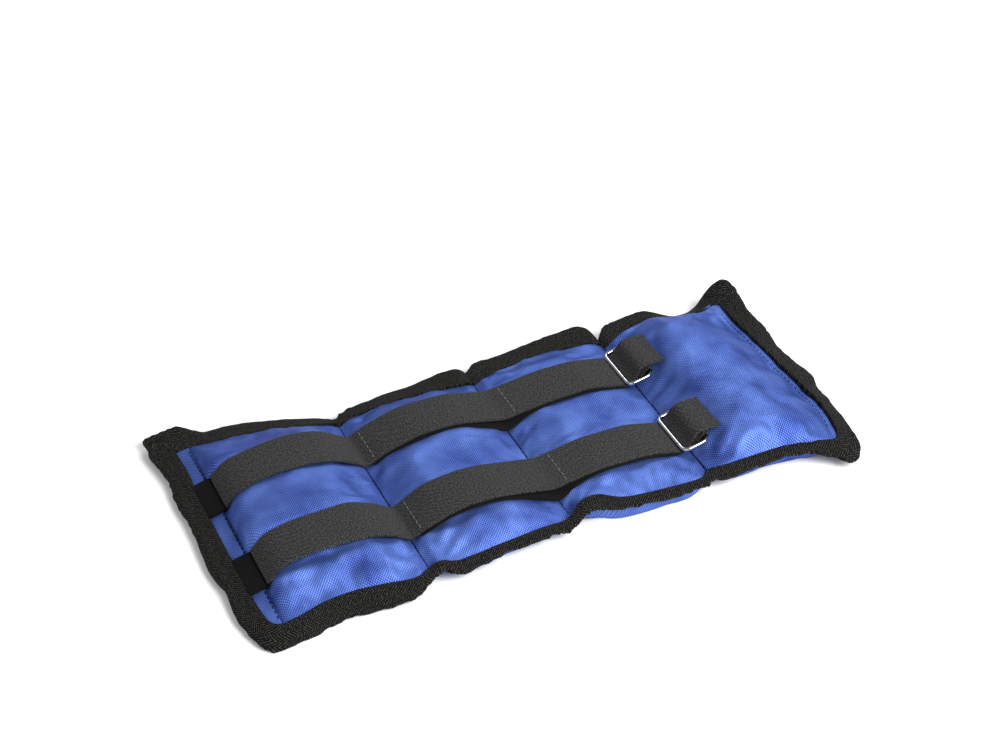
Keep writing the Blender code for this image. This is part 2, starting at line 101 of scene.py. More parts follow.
# How the bound edge lies, once round the cuff against the clock from the right rear corner. Each row is:
# x, y and z of the tape's inner edge, its heading in plan and its tilt in degrees, and its width in mm.
EDGE_LIE = np.array([
    (162, 58, 12.5, 24, 22, 12.5),
    (160.5, 62.5, 13, 58, 36, 13),
    (150, 63, 8.5, 88, -26, 10),
    (136, 63.5, 8, 90, -34, 10),
    (118, 63.5, 10.5, 90, 2, 11.5),
    (101, 62.5, 10.5, 90, 5, 11.5),
    (89, 60, 10, 90, 6, 9),
    (83.5, 58, 8.5, 90, -18, 6),
    (78, 62, 11, 90, 10, 12),
    (58, 65, 10.5, 90, 4, 11),
    (38, 65, 10, 90, 0, 10),
    (20, 63, 9.5, 90, 0, 11),
    (9, 60.5, 9.5, 90, 4, 12),
    (3.5, 59, 9, 90, -4, 10),
    (-3, 61, 9.5, 90, 2, 12),
    (-36, 63.5, 9, 90, -10, 9),
    (-64, 61.5, 9, 90, -8, 6.5),
    (-71, 60, 9, 90, -4, 5.5),
    (-76.5, 58, 8.8, 90, -12, 5),
    (-83, 62, 8, 90, -18, 8),
    (-108, 68, 9, 90, -10, 10.5),
    (-130, 72, 9, 91, -10, 11.5),
    (-143, 74, 8.5, 92, -8, 11),
    (-153, 76, 8, 93, 6, 15),
    (-160, 76.3, 7.5, 104, 2, 17.5),
    (-162.3, 75.6, 7.2, 121, -6, 21),
    (-162.6, 74, 7, 137, -10, 15.5),
    (-162.6, 67, 6.7, 165, -14, 11),
    (-162.2, 54, 6.5, 178, -18, 9.5),
    (-163, 40, 6.5, 180, -20, 10.5),
    (-163, 25, 6.5, 180, -20, 9.5),
    (-163.4, 0, 6.5, 180, -20, 10.5),
    (-163, -30, 6.5, 181, -20, 9.5),
    (-162.5, -55, 6.5, 190, -24, 9.5),
    (-158.5, -67.5, 6.5, 232, -30, 11),
    (-147, -68.5, 7.5, 268, -46, 10),
    (-131, -65.5, 8.5, 270, -52, 10.5),
    (-116, -65, 9, 270, -52, 10.5),
    (-100, -67, 9, 270, -48, 10),
    (-85, -68.5, 8, 270, -38, 7),
    (-76.5, -66.3, 8.6, 270, -10, 4),
    (-70.5, -66, 10.5, 270, -16, 3.8),
    (-60, -66.8, 8, 270, -24, 4.6),
    (-36, -65.5, 8.5, 270, -18, 3.4),
    (-12, -64, 8.5, 270, -14, 3.6),
    (-1, -63.5, 8, 270, -18, 4.4),
    (5, -62, 10, 270, -20, 4),
    (11, -59.5, 14, 270, -18, 5.5),
    (20, -59, 14, 270, -16, 6),
    (33, -63.2, 10.8, 270, -18, 3.8),
    (57, -64.8, 8.8, 270, -16, 2.9),
    (77, -65, 8.2, 270, -18, 3.4),
    (83.5, -61, 8.5, 270, -16, 4),
    (92, -62.5, 10, 270, -34, 5.5),
    (108, -63.2, 10.6, 270, -26, 4.6),
    (121, -63.6, 11, 270, -24, 3.6),
    (138, -65.5, 11.5, 271, -16, 5.5),
    (149, -68.5, 11, 276, -22, 9),
    (157, -69.5, 10.5, 288, -18, 14),
    (162, -62, 11.5, 336, -14, 7.5),
    (165, -42, 11.5, 358, -22, 7),
    (164.7, -27, 11.5, 359, -22, 8.5),
    (164.3, -12, 11.5, 360, -14, 11.5),
    (163.6, 2, 11.5, 360, -16, 10),
    (162.8, 20, 11.5, 360, -14, 10),
    (162.3, 36, 11.5, 361, -6, 11.5),
    (162, 48, 12, 366, 4, 10.5),
])

# How far each pocket's belly swells out below the front tape, in mm
FRONT_BELLY = {1: 0.0, 2: 2.0, 3: 6.0, 4: 4.0}

# How far in from a seam a pocket's underside reaches its full depth
BELLY_WALL = 16.0 * MM

# Steepest that a pocket's underside may fall away from a seam, so that two pockets fold without meeting
FOLD_SLOPE = 1.15

# How full each pocket is beside the others
FULLNESS = {1: 1.03, 2: 0.70, 3: 0.36, 4: 1.15}

# Light nylon cloth for the simulation: firm along the yarns, soft in bending
CLOTH = {
    "vertex_group_mass": "rim", "use_pressure": True, "tension_stiffness": 30.0,
    "compression_stiffness": 30.0, "shear_stiffness": 12.0, "bending_stiffness": 0.06, "mass": 0.3,
    "quality": 5,
}

# Square soft lights, each aimed at the cuff: name, place, size in metres and power in watts
LIGHTS = (
    ("key_light", (0.48, -0.88, 0.92), 0.8, 26.5),
    ("fill_light", (-0.8, -0.7, 0.8), 1.0, 4.0),
    ("rear_light", (0.62, 0.74, 0.86), 0.6, 6.0),
)
WORLD_STRENGTH = 0.44


def setting(name, description, default, unit="LENGTH"):
    """A number in a group of settings, in metres unless its unit is NONE."""
    return bpy.props.FloatProperty(name=name, description=description, default=default, unit=unit)


class CuffPockets(bpy.types.PropertyGroup):
    """Sizes of the filled pockets."""

    rise: setting("Rise", "Crown above the seams", 0.0135)
    lengthwise: setting("Fullness along", "How square the crown is along the cuff", 2.7, "NONE")
    across: setting("Fullness across", "How square the crown is across the cuff", 4.2, "NONE")
    spacing: setting("Mesh spacing", "Distance between cloth points", 0.0027)
    slack: setting("Slack", "Spare cloth, as a share of its size", 0.024, "NONE")
    pressure: setting("Pressure", "How hard the sand pushes the cloth out", 3.0, "NONE")
    cap: setting("Most movement", "Farthest the cloth may move", 0.003)
    pucker: setting("Pucker", "Height of the gathers beside the stitching", 0.0009)
    fold: setting("Fold", "Height of the folds at a pocket's corners", 0.0013)
    crumple: setting("Crumple", "Depth of the broad dents in the cloth", 0.0018)
    frames: bpy.props.IntProperty(name="Frames", description="Steps of the cloth simulation", default=18)


class CuffWebbing(bpy.types.PropertyGroup):
    """Sizes of tape, webbing, thread and wire."""

    tape_half: setting("Tape half thickness", "Half the bound edge's thickness", 0.0018)
    strap_thickness: setting("Strap thickness", "Thickness of the webbing", 0.0019)
    stitch: setting("Stitch length", "Length of one stitch with its gap", 0.0034)
    thread: setting("Thread radius", "Radius of the sewing thread", 0.0002)
    wire: setting("Wire radius", "Radius of the ring's wire", 0.0012)


class CuffStage(bpy.types.PropertyGroup):
    """Camera."""

    azimuth: setting("Azimuth", "Direction of the camera", math.radians(-25.3), "ROTATION")
    elevation: setting("Elevation", "Height of the camera", math.radians(38.5), "ROTATION")
    distance: setting("Distance", "From the aim to the camera", 1.102)
    aim: bpy.props.FloatVectorProperty(
        name="Aim", description="Point at the middle of the picture", default=(0.020, 0.0584, 0.010),
        subtype="TRANSLATION")
    lens: setting("Lens", "Focal length in mm on a 36 mm sensor", 72.0, "NONE")


def seams():
    """Places of the four seams along X, from the threads in the frame."""
    return [sum(corner[0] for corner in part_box(f"seam_thread_{i}")) / 2 for i in range(4)]


def seam_level():
    """Height of the cloth in the middle of a seam."""
    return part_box("seam_thread_2")[0][2] + SEAM_RISE


def row_middle(row):
    """Middle of a strap across the cuff."""
    low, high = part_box(f"{row}_strap_2")
    return (low[1] + high[1]) / 2


def half_width(node):
    """Half the size of a CAD node across the cuff."""
    low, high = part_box(node)
    return (high[1] - low[1]) / 2


def hinge(name):
    """Point on a joint's axis."""
    return next(Vector(joint["pos_m"]) for joint in frame["joints"] if joint["name"] == name)


def unit(vectors):
    """Vectors brought to length one."""
    return vectors / np.linalg.norm(vectors, axis=-1, keepdims=True)


def run_length(points):
    """Distance along a line of points from its first one."""
    return np.concatenate([[0.0], np.cumsum(np.linalg.norm(np.diff(points, axis=0), axis=1))])


def around(sides):
    """Angles once round a section."""
    return np.linspace(0.0, 2 * np.pi, sides, endpoint=False)


def swept_uv(run, across):
    """Cloth coordinates of a swept strip: the distance along it, and the place across it."""
    return np.stack([np.broadcast_to(run[:, None], across.shape), across], -1)


def superellipse(turn, flat_power, thick_power):
    """Signed powers of the cosine and of the sine of an angle."""
    return [np.sign(part) * np.abs(part) ** power
            for part, power in ((np.cos(turn), flat_power), (np.sin(turn), thick_power))]


def ease(part):
    """Half a cosine wave from 0 to 1."""
    return (1 - np.cos(np.pi * part)) / 2


def smooth_noise(count, length, seed):
    """Seeded noise along a line: random values at every length-th sample, joined by cosine steps."""
    values = np.random.default_rng(seed).uniform(-1.0, 1.0, count // length + 3)
    place = np.arange(count) / length
    low = place.astype(int)
    turn = ease(place - low)
    return values[low] * (1 - turn) + values[low + 1] * turn


def field_noise(u, v, length, seed):
    """Seeded noise over a field: random values on a square lattice, joined by cosine steps."""
    u, v = np.broadcast_arrays(u / length, v / length)
    values = np.random.default_rng(seed).uniform(-1.0, 1.0, (int(u.max()) + 2, int(v.max()) + 2))
    low_u, low_v = u.astype(int), v.astype(int)
    turn_u, turn_v = ease(u - low_u), ease(v - low_v)
    near = values[low_u, low_v] * (1 - turn_v) + values[low_u, low_v + 1] * turn_v
    far = values[low_u + 1, low_v] * (1 - turn_v) + values[low_u + 1, low_v + 1] * turn_v
    return near * (1 - turn_u) + far * turn_u


def catmull(points, per_span):
    """Catmull-Rom curve through rows of numbers, with the given samples in each span."""
    points = np.asarray(points, float)
    padded = np.vstack([2 * points[:1] - points[1:2], points, 2 * points[-1:] - points[-2:-1]])
    t = np.arange(per_span)[:, None] / per_span
    spans = []
    for a, b, c, d in zip(padded, padded[1:], padded[2:], padded[3:]):
        spans.append(0.5 * (2 * b + (c - a) * t + (2 * a - 5 * b + 4 * c - d) * t**2
                            + (3 * b - a - 3 * c + d) * t**3))
    return np.vstack(spans + [points[-1:]])


def edge_curve():
    """The bound edge as dense rows of inner point, outward direction and width, headings unwrapped."""
    once_round = np.array([0, 0, 0, 360, 0, 0])
    dense = catmull(np.vstack([EDGE_LIE, EDGE_LIE[0] + once_round]), 14)
    heading, tilt = np.radians(dense[:, 3]), np.radians(dense[:, 4])
    outward = np.stack([np.cos(heading) * np.cos(tilt), np.sin(heading) * np.cos(tilt), np.sin(tilt)], 1)
    return dense[:, :3] * MM, outward, dense[:, 5] * MM


def edge_line(picked, axis, places):
    """Inner edge of the tape over the picked samples, at places along X (0) or Y (1)."""
    points = edge_curve()[0][picked]
    points = points[np.argsort(points[:, axis])]
    line = np.stack([np.interp(places, points[:, axis], points[:, i]) for i in range(3)], -1)
    line[..., axis] = places
    return line


def edge_at(x, rear):
    """Inner edge of the tape at places along the rear or front edge."""
    outward = edge_curve()[1]
    aside = outward[:, 1] / np.hypot(outward[:, 0], outward[:, 1])
    return edge_line(aside * (1 if rear else -1) > 0.9, 0, x)


def right_edge(y):
    """Inner edge of the tape at places along the right end."""
    inner, outward, _ = edge_curve()
    return edge_line((inner[:, 0] > 0.15) & (outward[:, 0] > 0.2), 1, y)


def seam_line(x, b):
    """Points across the cuff at a seam, at shares b of the way from the front edge.

    The line is straight between the bound edges, then brought to the seam's level by one minus the fourth
    power of the distance from the middle.
    """
    line = edge_at([x], False) * (1 - b[:, None]) + edge_at([x], True) * b[:, None]
    line[:, 2] += (1 - (2 * b - 1) ** 4) * (seam_level() - line[:, 2])
    return line


def mesh_object(name, points, faces, material, uv=None):
    """A mesh object at the origin from arrays; uv holds one pair for each vertex, in metres of cloth."""
    mesh = bpy.data.meshes.new(name)
    mesh.from_pydata(np.asarray(points, float).tolist(), [], [list(face) for face in faces])
    mesh.materials.append(material)
    if uv is not None:
        layer = mesh.uv_layers.new(name="cloth")
        corners = np.empty(len(mesh.loops), np.int32)
        mesh.loops.foreach_get("vertex_index", corners)
        layer.data.foreach_set("uv", np.asarray(uv, np.float32)[corners].ravel())
    mesh.polygons.foreach_set("use_smooth", np.ones(len(mesh.polygons), bool))
    made = bpy.data.objects.new(name, mesh)
    bpy.context.scene.collection.objects.link(made)
    return made


def grid_faces(rows, columns, closed=False):
    """Quads of a grid whose rows are open, or closed into loops, in one array."""
    last = columns if closed else columns - 1
    i, j = np.meshgrid(np.arange(rows - 1), np.arange(last), indexing="ij")
    following = (j + 1) % columns
    quads = np.stack([i * columns + j, (i + 1) * columns + j, (i + 1) * columns + following,
                      i * columns + following], -1)
    return quads.reshape(-1, 4)


def points_of(made):
    """Vertex places of an object as an array."""
    places = np.empty(len(made.data.vertices) * 3)
    made.data.vertices.foreach_get("co", places)
    return places.reshape(-1, 3)


def edge_ends(mesh):
    """Vertex numbers at the two ends of each edge."""
    ends = np.empty(len(mesh.edges) * 2, np.int32)
    mesh.edges.foreach_get("vertices", ends)
    return ends.reshape(-1, 2)


def face_outwards(made):
    """Turns a closed mesh's faces outwards if its signed volume is negative."""
    mesh = made.data
    mesh.calc_loop_triangles()
    corners = np.empty(len(mesh.loop_triangles) * 3, np.int32)
    mesh.loop_triangles.foreach_get("vertices", corners)
    a, b, c = np.moveaxis(points_of(made)[corners.reshape(-1, 3)], 1, 0)
    if np.einsum("ij,ij->i", a, np.cross(b, c)).sum() < 0:
        mesh.flip_normals()


def capped_loft(name, sections, material, uv=None):
    """A closed tube through an array of section loops, with a sharp-edged fan at each end."""
    rows, columns, _ = sections.shape
    points = np.vstack([sections.reshape(-1, 3), sections[0].mean(0), sections[-1].mean(0)])
    ring = np.arange(columns)
    after = (ring + 1) % columns
    first, base = rows * columns, (rows - 1) * columns
    start = np.stack([np.full(columns, first), after, ring], 1)[::-1]
    end = np.stack([np.full(columns, first + 1), base + ring, base + after], 1)
    tube = grid_faces(rows, columns, closed=True)[:, ::-1]
    if uv is not None:
        uv = np.vstack([uv.reshape(-1, 2), uv[0].mean(0), uv[-1].mean(0)])
    made = mesh_object(name, points, tube.tolist() + start.tolist() + end.tolist(), material, uv)
    face_outwards(made)
    ends = edge_ends(made.data)
    rim = (ends < columns).all(1) | ((ends >= base) & (ends < first)).all(1)
    made.data.attributes.new("sharp_edge", "BOOLEAN", "EDGE").data.foreach_set("value", rim)
    return made


def linear(code):
    """Linear colour from an sRGB hex code."""
    channels = [int(code[i:i + 2], 16) / 255 for i in (1, 3, 5)]
    return tuple(c / 12.92 if c <= 0.04045 else ((c + 0.055) / 1.055) ** 2.4 for c in channels) + (1.0,)


def add_node(tree, kind, inputs, **settings):
    """Adds a node, sets its properties, and sets its inputs or links them to a socket or a first output."""
    node = tree.nodes.new(f"ShaderNode{kind}")
    for key, value in settings.items():
        setattr(node, key, value)
    for key, value in inputs.items():
        if isinstance(value, bpy.types.Node):
            value = value.outputs[0]
        if isinstance(value, bpy.types.NodeSocket):
            tree.links.new(value, node.inputs[key])
        else:
            node.inputs[key].default_value = value
    return node


def cloth_uv(tree):
    """Cloth coordinates in metres: both together, along and across."""
    place = add_node(tree, "UVMap", {}, uv_map="cloth")
    parts = add_node(tree, "SeparateXYZ", {0: place})
    return place, parts.outputs[0], parts.outputs[1]


def wave(tree, place, pitch):
    """Sine of a coordinate in metres with the given pitch in metres."""
    turned = add_node(tree, "Math", {0: place, 1: 2 * math.pi / pitch}, operation="MULTIPLY")
    return add_node(tree, "Math", {0: turned}, operation="SINE")


def woven(tree, tone, height, stops, bump, surface):
    """Shader of a cloth: the tone runs between two yarn colours, the height raises the yarns."""
    colour = add_node(tree, "ValToRGB", {0: tone})
    for element, (place, code) in zip(colour.color_ramp.elements, stops):
        element.position, element.color = place, linear(code)
    relief = add_node(tree, "Bump", {"Height": height, "Strength": bump[0], "Distance": bump[1]})
    return add_node(tree, "BsdfPrincipled", {"Base Color": colour, "Normal": relief, **surface})


def grained(tree, texture, detail, size, colours, surface):
    """Shader of a stuff whose grains of the given size in metres run between two colours."""
    place = add_node(tree, "TexCoord", {}).outputs["Object"]
    grain = add_node(tree, texture, {"Vector": place, "Scale": 1 / size, "Detail": detail})
    mixed = add_node(tree, "Mix", {"Factor": grain, 6: colours[0], 7: colours[1]}, data_type="RGBA")
    return add_node(tree, "BsdfPrincipled", {"Base Color": mixed.outputs[2], **surface})


def nylon(tree):
    """Woven nylon, satin from calendering: a close plain weave with a soft blue sheen.

    The real weave is too fine to show, so it is drawn with yarns 1.4 mm apart. The colour is lighter on the
    yarn crowns, a painted glint, and darker between them, painted shade.
    """
    place, u, v = cloth_uv(tree)
    drift = add_node(tree, "TexNoise", {"Vector": place, "Scale": 1 / (12 * MM), "Detail": 1.0})
    yarns = []
    for way in (u, v):
        bent = add_node(tree, "Math", {0: drift, 1: 0.8 * MM, 2: way}, operation="MULTIPLY_ADD")
        yarns.append(wave(tree, bent, 1.4 * MM))
    weave = add_node(tree, "Math", {0: yarns[0], 1: yarns[1]}, operation="MULTIPLY")
    cloud = add_node(tree, "TexNoise", {"Vector": place, "Scale": 1 / (22 * MM), "Detail": 2.0})
    # The weave's share of the tone paints glints on the yarn crowns and shade in the gaps; the cloud is
    # random tone
    tone = add_node(tree, "Math", {0: weave, 1: 0.32, 2: cloud}, operation="MULTIPLY_ADD")
    # Light that comes back through the dyed yarn is blue, not white, so the gloss takes the base colour
    return woven(tree, tone, weave, ((0.1, "#17256C"), (0.95, "#6480CC")), (0.8, 0.1 * MM), {
        "Metallic": 0.5, "Roughness": 0.4, "Specular IOR Level": 0.08, "Specular Tint": linear("#6074B4")})


def binding_tape(tree):
    """Herringbone binding tape, woven cotton: matt black-brown with zigzag ribs that catch a little light."""
    place, u, v = cloth_uv(tree)
    zigzag = add_node(tree, "Math", {0: v, 1: 3.2 * MM}, operation="PINGPONG")
    rib = wave(tree, add_node(tree, "Math", {0: u, 1: zigzag}, operation="ADD"), 1.45 * MM)
    grain = add_node(tree, "TexNoise", {"Vector": place, "Scale": 1 / (1.2 * MM), "Detail": 2.0})
    tone = add_node(tree, "Math", {0: rib, 1: 0.28, 2: grain}, operation="MULTIPLY_ADD")
    height = add_node(tree, "Math", {0: grain, 1: 0.6, 2: rib}, operation="MULTIPLY_ADD")
    return woven(tree, tone, height, ((0.55, "#010101"), (0.95, "#454340")), (0.8, 0.3 * MM), {
        "Roughness": 0.75, "Specular IOR Level": 0.12})


def loop_webbing(tree, dark, light):
    """Brushed loop webbing, knitted and napped: charcoal fuzz over close slanting ribs."""
    place, u, v = cloth_uv(tree)
    rib = wave(tree, add_node(tree, "Math", {0: u, 1: 0.9, 2: v}, operation="MULTIPLY_ADD"), 1.1 * MM)
    fuzz = add_node(tree, "TexNoise", {"Vector": place, "Scale": 1 / (0.8 * MM), "Detail": 3.0})
    tone, height = (add_node(tree, "Math", {0: rib, 1: share, 2: fuzz}, operation="MULTIPLY_ADD")
                    for share in (0.16, 0.4))
    return woven(tree, tone, height, ((0.38, dark), (0.78, light)), (0.7, 0.14 * MM), {
        "Roughness": 0.85, "Specular IOR Level": 0.12, "Sheen Weight": 0.04, "Sheen Roughness": 0.5})


def hook_tape(tree):
    """Hook tape, moulded nylon: near black, with a close field of tiny hooks."""
    _, u, v = cloth_uv(tree)
    hooks = add_node(tree, "Math", {0: wave(tree, u, 1.1 * MM), 1: wave(tree, v, 1.0 * MM)},
                     operation="MULTIPLY")
    return woven(tree, hooks, hooks, ((0.1, "#020203"), (0.9, "#0E0E10")), (0.9, 0.3 * MM), {
        "Roughness": 0.75, "Specular IOR Level": 0.12})


def thread(tree, code):
    """Twisted polyester thread: matt, its tone broken by the twist."""
    light = linear(code)
    shade = tuple(0.55 * c for c in light[:3]) + (1.0,)
    return grained(tree, "TexNoise", 1.0, 0.5 * MM, (light, shade), {
        "Roughness": 0.85, "Specular IOR Level": 0.1})


def chrome(tree):
    """Chrome-plated bent wire: mirror bright, with faint haze from the bending rollers."""
    place = add_node(tree, "TexCoord", {}).outputs["Object"]
    haze = add_node(tree, "TexNoise", {"Vector": place, "Scale": 1 / (4 * MM), "Detail": 4.0})
    rough = add_node(tree, "MapRange", {"Value": haze, 3: 0.05, 4: 0.14})
    return add_node(tree, "BsdfPrincipled", {
        "Base Color": linear("#A6A8AD"), "Metallic": 1.0, "Roughness": rough})


def sand(tree):
    """Sand in a plain bag: pale grains of mixed tone, never seen unless the cuff is cut open."""
    colours = linear("#A8977A"), linear("#6E6350")
    return grained(tree, "TexVoronoi", 0.0, 1.2 * MM, colours, {"Roughness": 0.9})


def studio_board(tree):
    """Matt studio board: plain and pale."""
    return add_node(tree, "BsdfPrincipled", {"Base Color": linear("#F4F4F5"), "Roughness": 0.9})


MATERIALS = {
    "calendered_nylon_oxford": (nylon,),
    "herringbone_binding_tape": (binding_tape,),
    "brushed_loop_webbing": (loop_webbing, "#040404", "#4C4C4D"),
    # Near-black webbing for the layer under the straps: its dark colour is painted shade under them
    "black_webbing_painted_shade": (loop_webbing, "#020202", "#0C0C0C"),
    "moulded_hook_tape": (hook_tape,),
    "black_polyester_thread": (thread, "#060607"),
    # Grey thread for the strap stitches, coloured lighter than the thread is: the extra lightness is painted
    # sheen
    "grey_thread_painted_sheen": (thread, "#7C7C7F"),
    "chromed_bent_wire": (chrome,),
    "bagged_washed_sand": (sand,),
    "matt_studio_board": (studio_board,),
}


def stuff(name):
    """A material of the list above, made at its first use."""
    made = bpy.data.materials.get(name)
    if not made:
        made = bpy.data.materials.new(name)
        made.use_nodes = True
        tree = made.node_tree
        tree.nodes.clear()
        recipe, *codes = MATERIALS[name]
        add_node(tree, "OutputMaterial", {"Surface": recipe(tree, *codes)})
    return made


def strip_top(x):
    """Height of the end strip's upper face, which droops from the first seam to the left tape."""
    seam, level = seams()[0] + SEAM_SHIFT, seam_level()
    tape = EDGE_LIE[EDGE_LIE[:, 0].argmin(), :3] * MM
    return level + (tape[2] - level) * np.clip((seam - x) / (seam - tape[0]), 0.0, 1.2) + STRIP_HALF


def hem_share(pocket):
    """Share of a pocket's length that is a flat hem beside the right tape."""
    return 0.08 if pocket == 4 else 0.0


FOOT_SHARE = 0.045  # of the first pocket's length, flat under a strap's end
BELLY_LOWEST = 0.0004  # the drawn belly, above the floor
LEAST_DEPTH = 0.0008  # the underside, below the upper side
SWELL_PLACE, SWELL_BAND = 0.035, 0.03  # where the belly swells out most, as shares across, and how widely


def cover_surface(pocket, settings):
    """Top and bottom points of a pocket, both on one grid, and the cloth coordinates of that grid.

    The base is a Coons patch between two seams and two bound edges. The top adds a rise that falls to
    nothing at the rim as one minus a power of the distance from the middle; the belly does so downwards.
    """
    places = seams()
    last = pocket == 4
    start = places[pocket - 1] if pocket > 1 else places[0] + SEAM_SHIFT
    end = right_edge(0.0)[0] if last else places[pocket]
    rows = int(round((end - start) / settings.spacing)) + 1
    columns = int(round(CLOTH_WIDTH / settings.spacing)) + 1
    a = np.linspace(0.0, 1.0, rows)[:, None]
    b = np.linspace(0.0, 1.0, columns)[None, :]
    x = start + (end - start) * a[:, 0]
    front, rear = edge_at(x, False), edge_at(x, True)
    base = front[:, None, :] * (1 - b[..., None]) + rear[:, None, :] * b[..., None]
    if last:
        rim = right_edge(base[-1, :, 1])
        base[:, :, 0] += (rim[:, 0] - end)[None, :] * a**2
        base[:, :, 2] += (rim[:, 2] - base[-1, :, 2])[None, :] * a**3
    dip = (1 - (2 * b - 1) ** 4) * (seam_level() - base[..., 2])
    base[..., 2] += dip * np.maximum((1 - a) ** 3, 0.0 if last else a**3)
    flat_uv = base[..., :2].copy()
    # The straps press the cloth down, and the first pocket's foot lies flat under their ends
    pressed = sum(np.exp(-((base[..., 1] - row_middle(row)) / STRAP_BAND) ** 6) for row in ROWS)
    foot = FOOT_SHARE * pressed * (pocket == 1)
    sunk = pressed * (not last)
    a = np.clip((a - foot) / (1 - foot - hem_share(pocket)), 0.0, 1.0)
    square = np.ones_like(a)
    if pocket == 1:
        square[a < 0.5] = 3.0
    if last:
        square[a <= 0.5] = 0.64
    across = settings.across * (1.5 if last else 1.0)
    lengthwise = settings.lengthwise * square * (1.25 - 0.35 * sunk)
    puff = (1 - np.abs(2 * a - 1) ** lengthwise) * (1 - np.abs(2 * b - 1) ** across) * (1 - 0.12 * sunk)
    wall = np.minimum(1.0, np.minimum(a, 1 - a) * (end - start) / BELLY_WALL)
    tuck = 7 if pocket == 1 else 14
    belly = (1 - (1 - wall) ** 2) * np.minimum(1.0, 1.8 * (1 - np.abs(2 * b - 1) ** tuck))
    top, bottom = base.copy(), base.copy()
    top[..., 2] += settings.rise * FULLNESS[pocket] * puff
    bottom[..., 2] -= np.maximum(belly * (base[..., 2] - BELLY_LOWEST), LEAST_DEPTH)
    swell = (1 - (2 * a - 1) ** 4) * np.exp(-((b - SWELL_PLACE) / SWELL_BAND) ** 2) * (b > 0)
    bottom[..., 1] -= FRONT_BELLY[pocket] * MM * swell
    return top, bottom, flat_uv


def pillow(name, pocket, settings):
    """A closed cover of two grids that share their rim, the points to hold, and the grid's size."""
    top, bottom, flat = cover_surface(pocket, settings)
    rows, columns = top.shape[:2]
    index = np.arange(rows * columns).reshape(rows, columns)
    rim = np.ones((rows, columns), bool)
    rim[1:-1, 1:-1] = False
    under = index.copy()
    within = (rows - 2, columns - 2)
    under[1:-1, 1:-1] = rows * columns + np.arange(within[0] * within[1]).reshape(within)
    points = np.vstack([top.reshape(-1, 3), bottom[1:-1, 1:-1].reshape(-1, 3)])
    uv = np.vstack([flat.reshape(-1, 2), flat[1:-1, 1:-1].reshape(-1, 2)])
    quads = grid_faces(rows, columns)
    faces = np.vstack([index.ravel()[quads], under.ravel()[quads][:, ::-1]])
    made = mesh_object(name, points, faces, stuff("calendered_nylon_oxford"), uv)
    keep_rim(made.data, index[rim], index[[0, 0, -1, -1], [0, -1, 0, -1]])
    held = rim | (np.arange(rows)[:, None] / (rows - 1) > 1 - hem_share(pocket))
    return made, np.concatenate([index[held], under[held & ~rim]]), (rows, columns)


def keep_rim(mesh, rim, corners):
    """Creases the rim's edges and corners, so that subdivision leaves the stitched line where it is."""
    on_rim = np.zeros(len(mesh.vertices), bool)
    on_rim[rim] = True
    crease = on_rim[edge_ends(mesh)].all(1).astype(np.float32)
    mesh.attributes.new("crease_edge", "FLOAT", "EDGE").data.foreach_set("value", crease)
    peak = np.zeros(len(mesh.vertices), np.float32)
    peak[corners] = 1.0
    mesh.attributes.new("crease_vert", "FLOAT", "POINT").data.foreach_set("value", peak)


def inflate(made, rim, pocket, settings):
    """Runs the cloth simulation on a pillow with its rim held, and keeps the capped result.

    Beside a seam that folds, the underside is then lifted to a plane through the hinge.
    """
    scene = bpy.context.scene
    before = points_of(made)
    made.vertex_groups.new(name="rim").add(rim.tolist(), 1.0, "REPLACE")
    cloth = made.modifiers.new("cloth", "CLOTH")
    for key, value in CLOTH.items():
        setattr(cloth.settings, key, value)
    cloth.settings.effector_weights.gravity = 0.0
    cloth.settings.uniform_pressure_force = settings.pressure
    cloth.settings.shrink_min = -settings.slack
    cloth.collision_settings.use_collision = False
    cloth.point_cache.frame_start = 1
    cloth.point_cache.frame_end = settings.frames
    for step in range(1, settings.frames + 1):
        scene.frame_set(step)
    after = points_of(made.evaluated_get(bpy.context.evaluated_depsgraph_get()))
    made.modifiers.remove(cloth)
    scene.frame_set(1)
    moved = after - before
    length = np.linalg.norm(moved, axis=1, keepdims=True)
    moved *= np.minimum(1.0, settings.cap / np.maximum(length, 1e-9))
    result = before + moved
    result[:, 2] = np.maximum(result[:, 2], CLOTH_LOWEST)
    if not FRONT_BELLY[pocket]:
        result[:, 1] = np.maximum(result[:, 1], edge_at(result[:, 0], False)[:, 1])
    for seam in seams()[max(1, pocket - 1):pocket + 1]:
        plane = hinge("seam_1_fold").z - FOLD_SLOPE * np.abs(result[:, 0] - seam)
        result[:, 2] = np.maximum(result[:, 2], plane)
    made.data.vertices.foreach_set("co", result.ravel())
    made.vertex_groups.clear()


GATHER_REACH = 0.008  # least reach of a gather, and the range above it
GATHER_START = 0.003  # how far from the stitching a gather is at its full height
DENT_SIZE, DENT_FADE = 0.022, 0.012  # lattice of the dents, and how far in from the rim they are full
FOLD_HEADINGS = (0.25, 0.55, 0.85, 1.2)  # of the corner folds, in radians from the cuff's length
FOLD_WIDTH, TROUGH_ASIDE, TROUGH_DEPTH = 0.1, 0.17, 0.7  # radians, and a share of the ridge


